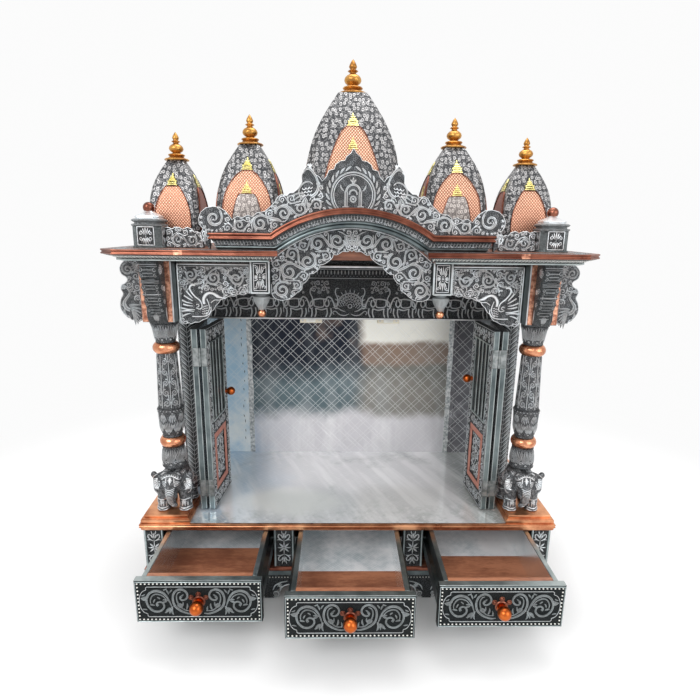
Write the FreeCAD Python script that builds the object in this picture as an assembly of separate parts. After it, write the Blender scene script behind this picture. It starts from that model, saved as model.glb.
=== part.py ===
import FreeCAD, Part
import math
import os

# A free-standing household shrine: a plinth with feet, a cabinet with three drawers, a porch on two
# elephant pillars, a shrine room with folding doors, and a roof with cornices, a crest and five domes.
# Millimetres. X runs to the right, Y to the back from the deck's front edge, Z up from the ground.
# Everything is shifted at the end, so that the origin is in the middle of the footprint.

V = FreeCAD.Vector
ALONG_X = V(1, 0, 0)
ALONG_Y = V(0, 1, 0)
ALONG_Z = V(0, 0, 1)
CENTRE = V(0, 0, 0)

# Shared small values
overrun = 5.0
hair_gap = 0.15
running_gap = 0.5

# Plinth
plinth_height = 73.0
plinth_board = 16.0
plinth_inset = 2.0
plinth_arch_height = 33.0
foot_radius = 11.0
inner_foot_offset = 14.3

# Cabinet and deck
deck_width = 914.0
deck_depth = 390.0
deck_board = 17.0
sheet = 1.0
edge_width = 6.0
edge_nose_height = 10.0
edge_step = 3.0
cabinet_side_setback = 4.2
cabinet_front_setback = 12.0
cabinet_back_setback = 4.0
cabinet_board = 12.0
cabinet_back_board = 8.0
bottom_board = 12.0
strip_height = 10.0
strip_reach = 4.0
stile_outer = 42.8
stile_inner = 45.0
stile_thickness = 14.0
opening_height = 95.0

# Drawers
drawer_side_gap = 1.0
drawer_top_gap = 2.0
drawer_front_thickness = 14.0
drawer_wall = 9.0
drawer_floor = 6.0
drawer_floor_lift = 6.0
drawer_back_gap = 32.0
rail_space = 11.7
rail_play = 1.2
rail_height = 26.0
rail_metal = 1.5
rail_back_gap = 48.0
rail_start = 4.0
drawer_pull_left = 168.0
drawer_pull_middle = 210.0
drawer_pull_right = 183.0
knob_radius = 13.0
knob_stem_radius = 5.0
knob_flange_radius = 9.0
knob_flange = 2.5
knob_reach = 31.0

# Pillars and porch
pillar_inset = 69.0
pillar_y = 56.0
block_size = 107.0
block_step = 6.0
block_height = 18.0
elephant_width = 88.0
elephant_depth = 92.0
elephant_height = 98.0
collar_height = 48.0
collar_radius = 26.5
ring_radius = 27.5
ring_height = 22.0
neck_radius = 18.0
vase_height = 60.0
vase_radius = 27.0
band_height = 6.0
band_radius = 27.5
shaft_height = 121.0
shaft_bottom_radius = 25.0
shaft_top_radius = 20.5
capital_height = 47.0
capital_radius = 28.0
post_height = 125.0
post_width = 64.0
post_depth = 62.0
corbel_reach = 42.0
corbel_drop = 128.0
corbel_thickness = 38.0
bracket_reach = 50.0
bracket_drop = 122.0
bracket_thickness = 16.0
bracket_y = 40.0

# Arcade between the porch posts
panel_thickness = 14.0
panel_front = 50.0
rosette_width = 41.0
rosette_height = 67.0
rosette_thickness = 26.0
rosette_place_share = 0.5183
spandrel_door_gap = 14.0
pendant_cup_height = 35.0
pendant_cup_radius = 15.0
pendant_ball_radius = 9.0
pendant_cap_gap = 1.0
pendant_cap_height = 3.0
pendant_neck_drop = 5.0
pendant_rim_drop = 8.0
arch_panel_drop = 80.0

# Shrine room
room_inset = 108.0
jamb_front = 186.0
jamb_board = 12.0
jamb_width = 55.0
lintel_thickness = 26.0
lintel_height = 144.0
lintel_rail_height = 6.0
lintel_rail_drop = 18.0
lintel_rail_reach = 4.0
lintel_foot_height = 3.0
lintel_foot_reach = 2.0
wall_board = 10.0
back_wall_setback = 9.0
back_wall_board = 9.0
column_radius = 20.0
column_offset = 28.0
catch_width = 52.0
catch_height = 12.0
catch_depth = 12.0
catch_gap = 0.8
catch_overhang = 3.0

# Folding doors
doorway_half = 95.0
leaf_thickness = 13.0
leaf_bottom_gap = 4.0
leaf_top_gap = 1.0
leaf_side_gap = 1.0
leaf_margin = 20.0
leaf_recess = 3.0
leaf_upper_drop = 34.0
leaf_middle_rail = 30.0
leaf_lower_lift = 36.0
leaf_lower_height = 138.0
leaf_bar_width = 6.0
leaf_bar_count = 3
fold_angle = 85.5
hinge_radius = 2.5
hinge_pin_radius = 1.2
hinge_bore_gap = 0.08
hinge_offset = 2.8
hinge_length = 40.0
hinge_plate = 1.2
hinge_plate_inset = 1.0
hinge_slot = 0.3
hinge_low = 56.0
hinge_top_gap = 61.0
door_knob_radius = 10.0
door_knob_stem_radius = 4.0
door_knob_flange_radius = 6.0
door_knob_flange = 2.0
door_knob_reach = 23.0
door_knob_edge = 12.0
door_knob_left_height = 250.0
door_knob_right_height = 285.0

# Roof and cornices
roof_board = 22.0
roof_inset = 21.0
roof_front = -6.0
roof_corner = 11.0
cornice_bead_out = 12.0
cornice_cove_out = 34.0
cornice_core_out = 27.0
cornice_edge_out = 39.0
cornice_bead_height = 4.0
cornice_cove_height = 8.0
hood_rise = 49.0
hood_chord_inset = 8.0
stage_inset = 185.0
stage_height = 31.0
stage_bead_height = 8.0
stage_edge_height = 12.0
stage_cove_inset = 10.0
stage_bead_inset = 18.0
stage_front = -12.0
stage_cove_front = -3.0
stage_bead_front = 6.0
hood_band = 38.0
hood_edge_band = 12.0
hood_cove_band = 12.0

# Crest, roof posts and domes
crest_height = 158.0
crest_overhang = 20.0
crest_thickness = 12.0
crest_front = 2.0
medallion_radius = 43.0
side_crest_height = 40.0
side_crest_thickness = 10.0
side_crest_front = 46.0
side_crest_gap = 4.0
roof_post_inset = 57.0
roof_post_y = 50.0
roof_post_width = 60.0
roof_post_height = 45.0
roof_post_chamfer = 12.0
roof_cap_height = 24.0
roof_ball_radius = 11.0
dome_base_height = 6.0
dome_base_ledge = 3.0
dome_corner_share = 0.16
dome_front_gap = 3.3
centre_dome_width = 196.0
centre_dome_height = 305.0
inner_dome_front_gap = 9.4
inner_dome_place_share = 0.56
inner_dome_width = 128.0
inner_dome_height = 200.0
outer_dome_end_gap = 19.0
outer_dome_front_gap = 6.3
outer_dome_width = 102.0
outer_dome_height = 168.0
centre_kalash_height = 70.0
inner_kalash_height = 61.0
outer_kalash_height = 57.0

# Derived heights
cabinet_floor = plinth_height + bottom_board
deck_underside = cabinet_floor + opening_height
deck_top = deck_underside + deck_board + sheet
block_top = deck_top + block_height
elephant_top = block_top + elephant_height
low_ring_bottom = elephant_top + collar_height
vase_bottom = low_ring_bottom + ring_height
shaft_bottom = vase_bottom + vase_height + band_height
high_ring_bottom = shaft_bottom + shaft_height
capital_bottom = high_ring_bottom + ring_height
post_bottom = capital_bottom + capital_height
roof_bottom = post_bottom + post_height
roof_top = roof_bottom + roof_board
stage_top = roof_top + stage_height
lintel_bottom = roof_bottom - lintel_height
spandrel_drop = lintel_height - spandrel_door_gap

# Derived places
deck_half = deck_width / 2
cabinet_half = deck_half - cabinet_side_setback
cabinet_front = cabinet_front_setback
cabinet_back = deck_depth - cabinet_back_setback
bay_width = 2 * (cabinet_half - stile_outer - stile_inner) / 3
bay_half = bay_width / 2
outer_bay_x = bay_width + stile_inner
inner_foot_x = bay_half + stile_inner + inner_foot_offset
inner_back = cabinet_back - cabinet_back_board
drawer_depth = inner_back - drawer_back_gap - cabinet_front - drawer_front_thickness
rail_y = cabinet_front + stile_thickness + rail_start
rail_length = inner_back - rail_back_gap - rail_y
rail_flange = rail_space - rail_metal
rail_slider = rail_flange - rail_play
rail_z = cabinet_floor + opening_height / 2
pillar_x = deck_half - pillar_inset
post_front = pillar_y - post_depth / 2
rosette_x = (pillar_x - post_width / 2) * rosette_place_share
room_half = deck_half - room_inset
roof_half = deck_half - roof_inset
stage_half = deck_half - stage_inset
crest_half = stage_half + crest_overhang
hood_chord_half = rosette_x - rosette_width / 2 - hood_chord_inset
hood_outer_radius = (hood_chord_half ** 2 + hood_rise ** 2) / (2 * hood_rise)
hood_centre = stage_top + hood_rise - hood_outer_radius
hood_inner_radius = hood_outer_radius - hood_band
panel_back = panel_front + panel_thickness
stage_back = panel_back + hair_gap
leaf_bottom = deck_top + leaf_bottom_gap
leaf_top = lintel_bottom - leaf_top_gap
leaf_width = (room_half - doorway_half) / 2 - leaf_side_gap
back_wall_front = deck_depth - back_wall_setback - back_wall_board
jamb_axis = V(-room_half + leaf_side_gap / 2, jamb_front - hinge_offset, 0)
fold_axis_x = -room_half + leaf_side_gap + leaf_width + leaf_side_gap / 2
fold_axis = V(fold_axis_x, jamb_front + leaf_thickness + hinge_offset, 0)

# Shapes from flat outlines


def block(x_range, y_range, z_range):
    size = [high - low for low, high in (x_range, y_range, z_range)]
    return Part.makeBox(*size, V(x_range[0], y_range[0], z_range[0]))


def outline_face(points, place):
    """A face from (u, v) points; a point given as (middle, end) is reached by an arc."""
    edges = []
    last = place(*points[0])
    for point in points[1:] + points[:1]:
        if isinstance(point[0], tuple):
            middle, end = place(*point[0]), place(*point[1])
            edges.append(Part.Arc(last, middle, end).toShape())
        else:
            end = place(*point)
            edges.append(Part.makeLine(last, end))
        last = end
    return Part.Face(Part.Wire(edges))


def board_xz(points, y_range):
    """An upright board that faces the front, from its outline in X and Z."""
    face = outline_face(points, lambda x, z: V(x, y_range[0], z))
    return face.extrude(V(0, y_range[1] - y_range[0], 0))


def board_xy(points, z_range):
    face = outline_face(points, lambda x, y: V(x, y, z_range[0]))
    return face.extrude(V(0, 0, z_range[1] - z_range[0]))


def disc_xz(x, z, radius, y_range):
    """A round lobe of a board that faces the front."""
    return Part.makeCylinder(radius, y_range[1] - y_range[0], V(x, y_range[0], z), ALONG_Y)


def turned(profile, x, y):
    """A piece turned about an upright axis, from (radius, height) points."""
    face = outline_face(profile, lambda r, z: V(x + r, y, z))
    return face.revolve(V(x, y, 0), ALONG_Z, 360)


def joined(shapes):
    whole = shapes[0].multiFuse(shapes[1:]) if len(shapes) > 1 else shapes[0]
    return whole.removeSplitter()


def mirrored(shape):
    return shape.mirror(CENTRE, ALONG_X)


def pair(shape):
    return [shape, mirrored(shape)]


def turned_about(shape, axis_point, degrees):
    copy = shape.copy()
    copy.rotate(axis_point, ALONG_Z, degrees)
    return copy


def scaled(shares, u_size, v_size, u_start, v_start):
    """Outline points from shares of a width and a height."""
    return [(u_start + u * u_size, v_start + v * v_size) for u, v in shares]


# Plinth: boards with arched cut-outs that stand on round scroll feet


def foot_arch(start, end, y_range):
    """The opening between two feet, with a quarter-round shoulder at each end."""
    rise = plinth_arch_height
    bend = rise * (1 - math.sqrt(0.5))
    points = [(start, -overrun), (start, 0), ((start + bend, rise - bend), (start + rise, rise)),
              (end - rise, rise), ((end - bend, rise - bend), (end, 0)), (end, -overrun)]
    return board_xz(points, y_range)


def apron(half, feet, y_range, top):
    """A plinth board, centred on X, with a round scroll at each foot."""
    board = block((-half, half), y_range, (0, top))
    cut_range = (y_range[0] - overrun, y_range[1] + overrun)
    edges = sorted(feet)
    for left, right in zip(edges, edges[1:]):
        board = board.cut(foot_arch(left + foot_radius, right - foot_radius, cut_range))
    scrolls = [disc_xz(foot, foot_radius, foot_radius, y_range) for foot in edges[1:-1]]
    return joined([board] + scrolls)


plinth_half = cabinet_half - plinth_inset
plinth_front_y = cabinet_front + plinth_inset
plinth_back_y = cabinet_back - plinth_inset
corner_foot_x = plinth_half - foot_radius
plinth_front = apron(plinth_half, [-corner_foot_x, -inner_foot_x, inner_foot_x, corner_foot_x],
                     (plinth_front_y, plinth_front_y + plinth_board), plinth_height)
plinth_rear = apron(plinth_half, [-corner_foot_x, corner_foot_x],
                    (plinth_back_y - plinth_board, plinth_back_y), plinth_height)
side_half = (plinth_back_y - plinth_front_y) / 2 - plinth_board
side_middle = (plinth_back_y + plinth_front_y) / 2
side_apron = apron(side_half, [-side_half + foot_radius, side_half - foot_radius],
                   (-plinth_board, 0), plinth_height)
side_apron.rotate(CENTRE, ALONG_Z, 90)
side_apron.translate(V(plinth_half - plinth_board, side_middle, 0))

# Cabinet: bottom, sides, back, carved stiles and the boards that carry the rails

cabinet_x = (-cabinet_half, cabinet_half)
bay_z = (cabinet_floor, deck_underside)
stile_y = (cabinet_front, cabinet_front + stile_thickness)
cabinet_bottom = block(cabinet_x, (cabinet_front, cabinet_back), (plinth_height, cabinet_floor))
cabinet_side = block((cabinet_half - cabinet_board, cabinet_half), (stile_y[1], cabinet_back), bay_z)
cabinet_rear = block((-cabinet_half + cabinet_board, cabinet_half - cabinet_board),
                     (inner_back, cabinet_back), bay_z)
stiles = (block((bay_half, bay_half + stile_inner), stile_y, bay_z),
          block((cabinet_half - stile_outer, cabinet_half), stile_y, bay_z))
divider_starts = (bay_half, bay_half + stile_inner - cabinet_board, cabinet_half - stile_outer)
dividers = [block((start, start + cabinet_board), (stile_y[1], inner_back), bay_z)
            for start in divider_starts]


def nosed_strip(half, front, back, width, z_range, nose):
    """A moulding along the front and both sides of a board, with a rounded nose."""
    outer = block((-half - width, half + width), (front - width, back), z_range)
    inner = block((-half, half), (front, back + overrun), (z_range[0] - overrun, z_range[1] + overrun))
    front_edges = []
    for edge in outer.Edges:
        middle = edge.BoundBox.Center
        level = edge.BoundBox.ZLength < overrun
        at_rim = abs(middle.y - (front - width)) < hair_gap or abs(abs(middle.x) - half - width) < hair_gap
        if level and at_rim:
            front_edges.append(edge)
    return outer.makeFillet(nose, front_edges).cut(inner)


strip_middle = plinth_height + bottom_board / 2
base_strip = nosed_strip(cabinet_half, cabinet_front, cabinet_back, strip_reach,
                         (strip_middle - strip_height / 2, strip_middle + strip_height / 2),
                         strip_reach * 0.9)

# Deck: board, copper edge moulding and the polished sheet on top

deck_inner_half = deck_half - edge_width
deck = block((-deck_inner_half, deck_inner_half), (edge_width, deck_depth),
             (deck_underside, deck_top - sheet))
deck_sheet = block((-deck_inner_half, deck_inner_half), (edge_width, deck_depth),
                   (deck_top - sheet, deck_top))
nose_bottom = deck_top - edge_nose_height
deck_nose = nosed_strip(deck_inner_half, edge_width, deck_depth, edge_width,
                        (nose_bottom, deck_top), edge_step)
deck_fillet = nosed_strip(deck_inner_half, edge_width, deck_depth, edge_width - edge_step,
                          (deck_underside, nose_bottom), (edge_width - edge_step) / 2)
deck_edge = joined([deck_nose, deck_fillet])

# Drawers, each built shut in the middle bay and then moved to its bay and pulled out

front_top = deck_underside - drawer_top_gap
front_bottom = cabinet_floor + drawer_top_gap
front_half = bay_half - drawer_side_gap
box_half = bay_half - rail_space
box_front = stile_y[0] + drawer_front_thickness
box_bottom = front_bottom + drawer_floor_lift
drawer_front = block((-front_half, front_half), (stile_y[0], box_front), (front_bottom, front_top))
drawer_front = drawer_front.makeChamfer(sheet, [edge for edge in drawer_front.Edges
                                                if abs(edge.BoundBox.Center.y - stile_y[0]) < hair_gap])
box_outer = block((-box_half, box_half), (box_front, box_front + drawer_depth), (box_bottom, front_top))
box_inner = block((-box_half + drawer_wall, box_half - drawer_wall),
                  (box_front + drawer_wall, box_front + drawer_depth - drawer_wall),
                  (box_bottom + drawer_floor, front_top + overrun))
drawer_box = box_outer.cut(box_inner)
slider = block((box_half, box_half + rail_slider), (rail_y, rail_y + rail_length),
               (rail_z - rail_height / 2, rail_z + rail_height / 2))
channel_half = rail_height / 2 + running_gap
channel = block((bay_half - rail_flange, bay_half), (rail_y, rail_y + rail_length),
                (rail_z - channel_half - rail_metal, rail_z + channel_half + rail_metal))
channel_hollow = block((bay_half - rail_flange - overrun, bay_half - rail_metal),
                       (rail_y - overrun, rail_y + rail_length + overrun),
                       (rail_z - channel_half, rail_z + channel_half))
channel = channel.cut(channel_hollow)


def ball_knob(ball, stem, flange, flange_thickness, reach):
    """A round knob on a stem, turned about Y, that stands out of the plane Y = 0 towards the front."""
    ball_centre = reach - ball
    entry = ball_centre - math.sqrt(ball ** 2 - stem ** 2)
    profile = [(0, 0), (flange, 0), (flange, flange_thickness), (stem, flange_thickness),
               (stem, entry), ((ball, ball_centre), (0, reach))]
    face = outline_face(profile, lambda r, out: V(r, -out, 0))
    return face.revolve(CENTRE, ALONG_Y, 360)


drawer_knob = ball_knob(knob_radius, knob_stem_radius, knob_flange_radius, knob_flange, knob_reach)
drawer_knob.translate(V(0, stile_y[0], (front_bottom + front_top) / 2))


def placed_drawer(shapes, bay_x, pull):
    moved = []
    for shape in shapes:
        copy = shape.copy()
        copy.translate(V(bay_x, -pull, 0))
        moved.append(copy)
    return moved


channels = []
for bay_x in (-outer_bay_x, 0, outer_bay_x):
    channels += placed_drawer(pair(channel), bay_x, 0)

# Pillars: stepped block, elephant, turned pillar with an eight-sided shaft, and two copper rings


def stepped_block():
    half = block_size / 2
    middle_x = deck_half - edge_step - half
    middle_y = edge_step + half
    low = block((middle_x - half, middle_x + half), (middle_y - half, middle_y + half),
                (deck_top, deck_top + block_height / 2))
    high_half = half - block_step
    high = block((middle_x - high_half, middle_x + high_half),
                 (middle_y - high_half, middle_y + high_half),
                 (deck_top + block_height / 2, block_top))
    return joined([low, high])


def ellipsoid(shares):
    """A rounded form from shares of the elephant's width, depth and height."""
    sizes = (elephant_width, elephant_depth, elephant_height)
    centre = [share * size for share, size in zip(shares[0], sizes)]
    radii = [share * size for share, size in zip(shares[1], sizes)]
    matrix = FreeCAD.Matrix()
    matrix.scale(*radii)
    matrix.move(*centre)
    return Part.makeSphere(1).transformGeometry(matrix)


elephant_body_shares = [
    ((0, 0.54, 0.60), (0.38, 0.46, 0.32)),
    ((0, 0.20, 0.63), (0.25, 0.18, 0.27)),
    ((0.17, 0.17, 0.80), (0.12, 0.12, 0.12)),
    ((-0.17, 0.17, 0.80), (0.12, 0.12, 0.12)),
    ((0.34, 0.24, 0.62), (0.16, 0.06, 0.25)),
    ((-0.34, 0.24, 0.62), (0.16, 0.06, 0.25))]
elephant_leg_shares = [(0.26, 0.30), (-0.26, 0.30), (0.26, 0.82), (-0.26, 0.82)]
elephant_leg_radius_share = 0.15
elephant_leg_height_share = 0.55
trunk_shares = [(0, 0.06, 0.60), (0, 0.03, 0.40), (0, 0.06, 0.22), (0.05, 0.10, 0.09)]
trunk_radius_shares = [0.13, 0.10, 0.075, 0.06]
saddle_radius_share = 0.34
saddle_height_share = 0.12


def limb(start, end, start_radius, end_radius):
    run = end - start
    return Part.makeCone(start_radius, end_radius, run.Length, start, run)


def elephant():
    sizes = (elephant_width, elephant_depth, elephant_height)
    parts = [ellipsoid(shares) for shares in elephant_body_shares]
    leg_radius = elephant_leg_radius_share * elephant_width
    leg_height = elephant_leg_height_share * elephant_height
    for x_share, y_share in elephant_leg_shares:
        foot = V(x_share * elephant_width, y_share * elephant_depth, 0)
        parts.append(limb(foot, foot + V(0, 0, leg_height), leg_radius, leg_radius * 0.9))
    trunk = [V(*(share * size for share, size in zip(shares, sizes))) for shares in trunk_shares]
    radii = [share * elephant_width for share in trunk_radius_shares]
    for index in range(len(trunk) - 1):
        parts.append(limb(trunk[index], trunk[index + 1], radii[index], radii[index + 1]))
        parts.append(Part.makeSphere(radii[index + 1], trunk[index + 1]))
    saddle_height = saddle_height_share * elephant_height
    parts.append(Part.makeCylinder(saddle_radius_share * elephant_width, saddle_height,
                                   V(0, elephant_depth / 2, elephant_height - saddle_height)))
    whole = joined(parts)
    whole.translate(V(pillar_x, pillar_y - elephant_depth / 2, block_top))
    return whole


def turned_pillar():
    """Collar, neck, vase and band, then an eight-sided shaft, neck and flared capital."""
    low_profile = [(0, elephant_top), (collar_radius, elephant_top),
                   ((collar_radius * 1.02, elephant_top + collar_height * 0.5),
                    (collar_radius * 0.86, low_ring_bottom)),
                   (neck_radius, low_ring_bottom), (neck_radius, vase_bottom),
                   ((vase_radius * 0.93, vase_bottom + vase_height * 0.35),
                    (vase_radius, vase_bottom + vase_height)),
                   (band_radius, vase_bottom + vase_height), (band_radius, shaft_bottom),
                   (0, shaft_bottom)]
    high_profile = [(0, high_ring_bottom), (neck_radius, high_ring_bottom),
                    (neck_radius, capital_bottom), (capital_radius * 0.72, capital_bottom),
                    ((capital_radius * 0.78, capital_bottom + capital_height * 0.45),
                     (capital_radius, capital_bottom + capital_height * 0.8)),
                    (capital_radius, post_bottom), (0, post_bottom)]
    rings = []
    for radius, height in ((shaft_bottom_radius, shaft_bottom), (shaft_top_radius, high_ring_bottom)):
        corners = []
        for step in range(9):
            angle = math.radians(22.5 + 45 * step)
            corner_x, corner_y = radius * math.cos(angle), radius * math.sin(angle)
            corners.append(V(pillar_x + corner_x, pillar_y + corner_y, height))
        rings.append(Part.makePolygon(corners))
    shaft = Part.makeLoft(rings, True, True)
    low, high = turned(low_profile, pillar_x, pillar_y), turned(high_profile, pillar_x, pillar_y)
    return joined([low, shaft, high])


def pillar_ring(bottom):
    """A bulging copper ring round the pillar's neck."""
    bore = neck_radius + hair_gap
    lip = neck_radius + (ring_radius - neck_radius) * 0.35
    low, high = bottom + hair_gap, bottom + ring_height - hair_gap
    profile = [(bore, low), (lip, low), ((ring_radius, (low + high) / 2), (lip, high)), (bore, high)]
    return turned(profile, pillar_x, pillar_y)


# Porch posts with their scrolled brackets, under the cornice

post = block((pillar_x - post_width / 2, pillar_x + post_width / 2),
             (post_front, post_front + post_depth), (post_bottom, roof_bottom))

corbel_core_shares = [(0, 0), (1, 0), (1, -0.14), (0.62, -0.2), (0.55, -0.45), (0.4, -0.75),
                      (0.12, -1), (0, -1)]
corbel_lobe_shares = [(0.72, -0.24, 0.28), (0.56, -0.53, 0.3)]
bracket_core_shares = [(0, 0), (0.82, 0), (0.55, -0.22), (0.5, -0.3), (0.97, -0.2), (0.9, -0.5),
                       (0.55, -0.85), (0.2, -1), (0, -1)]
bracket_lobe_shares = [(0.74, -0.12, 0.26), (0.66, -0.5, 0.34)]


def console(core_shares, lobe_shares, reach, drop, y_range):
    """A scrolled bracket that grows out of the plane X = 0, towards +X and down from Z = 0."""
    parts = [board_xz(scaled(core_shares, reach, drop, 0, 0), y_range)]
    for u_share, z_share, radius_share in lobe_shares:
        parts.append(disc_xz(u_share * reach, z_share * drop, radius_share * reach, y_range))
    limits = block((0, reach), y_range, (-drop, 0))
    return joined(parts).common(limits)


front_corbel = console(corbel_core_shares, corbel_lobe_shares, corbel_reach, corbel_drop,
                       (-corbel_thickness / 2, corbel_thickness / 2))
front_corbel.rotate(CENTRE, ALONG_Z, -90)
front_corbel.translate(V(pillar_x, post_front, roof_bottom))
side_bracket = console(bracket_core_shares, bracket_lobe_shares, bracket_reach, bracket_drop,
                       (bracket_y - bracket_thickness / 2, bracket_y + bracket_thickness / 2))
side_bracket.translate(V(pillar_x + post_width / 2, 0, roof_bottom))

# Arcade: bird spandrels, rosette blocks with pendants, and the cusped arch in the middle

panel_y = (panel_front, panel_back)
spandrel_start = rosette_x + rosette_width / 2
spandrel_width = pillar_x - post_width / 2 - spandrel_start
spandrel_shares = [(0, 0), (1, 0), (1, -1), (0.93, -0.97), ((0.7, -0.93), (0.54, -0.9)),
                   ((0.47, -0.83), (0.42, -0.7)), ((0.33, -0.6), (0.2, -0.62)), ((0.1, -0.58), (0, -0.5))]


def share_outline(shares, u_size, v_size, u_start, v_start):
    """Like scaled, for an outline in which some points are reached by arcs."""
    def real(share):
        return (u_start + share[0] * u_size, v_start + share[1] * v_size)
    return [(real(share[0]), real(share[1])) if isinstance(share[0], tuple) else real(share)
            for share in shares]


spandrel_outline = share_outline(spandrel_shares, spandrel_width, spandrel_drop, spandrel_start, roof_bottom)
spandrel = board_xz(spandrel_outline, panel_y)
rosette_y = (panel_back - rosette_thickness, panel_back)
rosette = block((rosette_x - rosette_width / 2, rosette_x + rosette_width / 2), rosette_y,
                (roof_bottom - rosette_height, roof_bottom))
pendant_top = roof_bottom - rosette_height
pendant_y = (rosette_y[0] + rosette_y[1]) / 2
cup_bottom = pendant_top - pendant_cup_height
ball_z = cup_bottom - pendant_ball_radius * 0.8
pendant_cap_radius = min(rosette_width, rosette_thickness) / 2 - pendant_cap_gap
pendant_profile = [(0, pendant_top), (pendant_cap_radius, pendant_top),
                   (pendant_cap_radius, pendant_top - pendant_cap_height),
                   (pendant_cup_radius * 0.7, pendant_top - pendant_neck_drop),
                   (pendant_cup_radius, pendant_top - pendant_rim_drop),
                   ((pendant_cup_radius * 0.7, pendant_top - pendant_cup_height * 0.6),
                    (pendant_ball_radius * 0.5, cup_bottom)), (0, cup_bottom)]
pendant = joined([turned(pendant_profile, rosette_x, pendant_y),
                  Part.makeSphere(pendant_ball_radius, V(rosette_x, pendant_y, ball_z))])

arch_half = rosette_x - rosette_width / 2 - hair_gap
arch_opening_shares = [(0.62, -1.2), (0.62, -0.62), (0.5, -0.3), (0.36, -0.02), (0.23, 0.1),
                       (-0.23, 0.1), (-0.36, -0.02), (-0.5, -0.3), (-0.62, -0.62), (-0.62, -1.2)]
arch_lobe_shares = [(0.3, 0.05, 0.09), (0.44, -0.13, 0.1), (0.57, -0.38, 0.1), (0.66, -0.66, 0.1),
                    (0.82, -0.8, 0.165)]


def cusped_arch():
    """The carved panel under the hood: an arched top and a lobed opening below."""
    panel_bottom = roof_bottom - arch_panel_drop
    full = block((-arch_half, arch_half), panel_y, (panel_bottom, stage_top + hood_rise))
    top_arc = disc_xz(0, hood_centre, hood_inner_radius - hair_gap, panel_y)
    skirt = block((-arch_half, arch_half), panel_y, (panel_bottom, roof_bottom))
    body = joined([full.common(top_arc), skirt])
    opening = board_xz(scaled(arch_opening_shares, arch_half, arch_panel_drop, 0, roof_bottom),
                       (panel_y[0] - overrun, panel_y[1] + overrun))
    body = body.cut(opening)
    lower = block((-arch_half, arch_half), panel_y, (panel_bottom, panel_bottom + arch_panel_drop * 0.2))
    body = body.cut(lower)
    lobes = []
    for x_share, z_share, radius_share in arch_lobe_shares:
        for side in (-1, 1):
            lobes.append(disc_xz(side * x_share * arch_half, roof_bottom + z_share * arch_panel_drop,
                                 radius_share * arch_half, panel_y))
    return joined([body] + lobes)


# Shrine room: jambs, feathered columns, lintel, walls, back and its polished sheet


def hinge_heights():
    return [deck_top + hinge_low, leaf_top - hinge_top_gap]


def plate_slots(x, y_range):
    """Shallow seats for hinge plates in an edge that ends at X = x, towards -X."""
    slots = []
    for middle in hinge_heights():
        slots.append(block((x - hinge_plate, x + overrun), y_range,
                           (middle - hinge_length / 2, middle + hinge_length / 2)))
    return slots


jamb_y = (jamb_front, jamb_front + jamb_board)
jamb_plate_y = (jamb_front - overrun, jamb_y[1] - hinge_plate_inset)
left_jamb = block((-room_half - jamb_width, -room_half), jamb_y, (deck_top, roof_bottom))
left_jamb = left_jamb.cut(Part.makeCompound(plate_slots(-room_half, jamb_plate_y)))
column_x = room_half + column_offset
column_top = roof_bottom
column = Part.makeCylinder(column_radius, column_top - deck_top, V(column_x, jamb_front, deck_top))
column = column.common(block((column_x - column_radius, column_x + column_radius),
                             (jamb_front - column_radius, jamb_front), (deck_top, column_top)))
room_x = (-room_half, room_half)
lintel = block(room_x, (jamb_front, jamb_front + lintel_thickness), (lintel_bottom, roof_bottom))
rail_top = roof_bottom - lintel_rail_drop
lintel_rail = block(room_x, (jamb_front - lintel_rail_reach, jamb_front),
                    (rail_top - lintel_rail_height, rail_top))
lintel_foot = block(room_x, (jamb_front - lintel_foot_reach, jamb_front),
                    (lintel_bottom, lintel_bottom + lintel_foot_height))
lintel = joined([lintel, lintel_rail, lintel_foot])
catch_y = jamb_front + leaf_thickness + catch_gap
catch_x = doorway_half - catch_overhang
catch = block((catch_x - catch_width / 2, catch_x + catch_width / 2), (catch_y, catch_y + catch_depth),
              (lintel_bottom - catch_height, lintel_bottom))
catch = catch.makeChamfer(sheet, catch.Edges[:4])
side_wall = block((room_half, room_half + wall_board), (jamb_y[1], back_wall_front), (deck_top, roof_bottom))
back_wall = block((-room_half - wall_board, room_half + wall_board),
                  (back_wall_front, back_wall_front + back_wall_board), (deck_top, roof_bottom))
back_sheet = block(room_x, (back_wall_front - sheet, back_wall_front), (deck_top, roof_bottom))

# Folding doors, built shut on the left side and then folded about the two hinge axes


def door_leaf(start):
    """A leaf with a barred upper panel and a plain lower one, its front towards -Y."""
    x_range = (start, start + leaf_width)
    y_range = (jamb_front, jamb_front + leaf_thickness)
    leaf = block(x_range, y_range, (leaf_bottom, leaf_top))
    panel_x = (x_range[0] + leaf_margin, x_range[1] - leaf_margin)
    recess_y = (jamb_front - overrun, jamb_front + leaf_recess)
    lower_z = (leaf_bottom + leaf_lower_lift, leaf_bottom + leaf_lower_lift + leaf_lower_height)
    upper_z = (lower_z[1] + leaf_middle_rail, leaf_top - leaf_upper_drop)
    leaf = leaf.cut(block(panel_x, recess_y, upper_z)).cut(block(panel_x, recess_y, lower_z))
    bars = []
    spacing = (panel_x[1] - panel_x[0]) / (leaf_bar_count + 1)
    for index in range(leaf_bar_count):
        middle = panel_x[0] + spacing * (index + 1)
        bars.append(block((middle - leaf_bar_width / 2, middle + leaf_bar_width / 2),
                          (jamb_front + leaf_recess / 2, jamb_front + leaf_recess), upper_z))
    frame_inner = (panel_x[0] + leaf_margin / 2, panel_x[1] - leaf_margin / 2)
    frame = block(panel_x, (jamb_front + leaf_recess / 2, jamb_front + leaf_recess), lower_z)
    hole = block(frame_inner, (jamb_front, jamb_front + leaf_recess),
                 (lower_z[0] + leaf_margin / 2, lower_z[1] - leaf_margin / 2))
    return joined([leaf, frame.cut(hole)] + bars)


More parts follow.
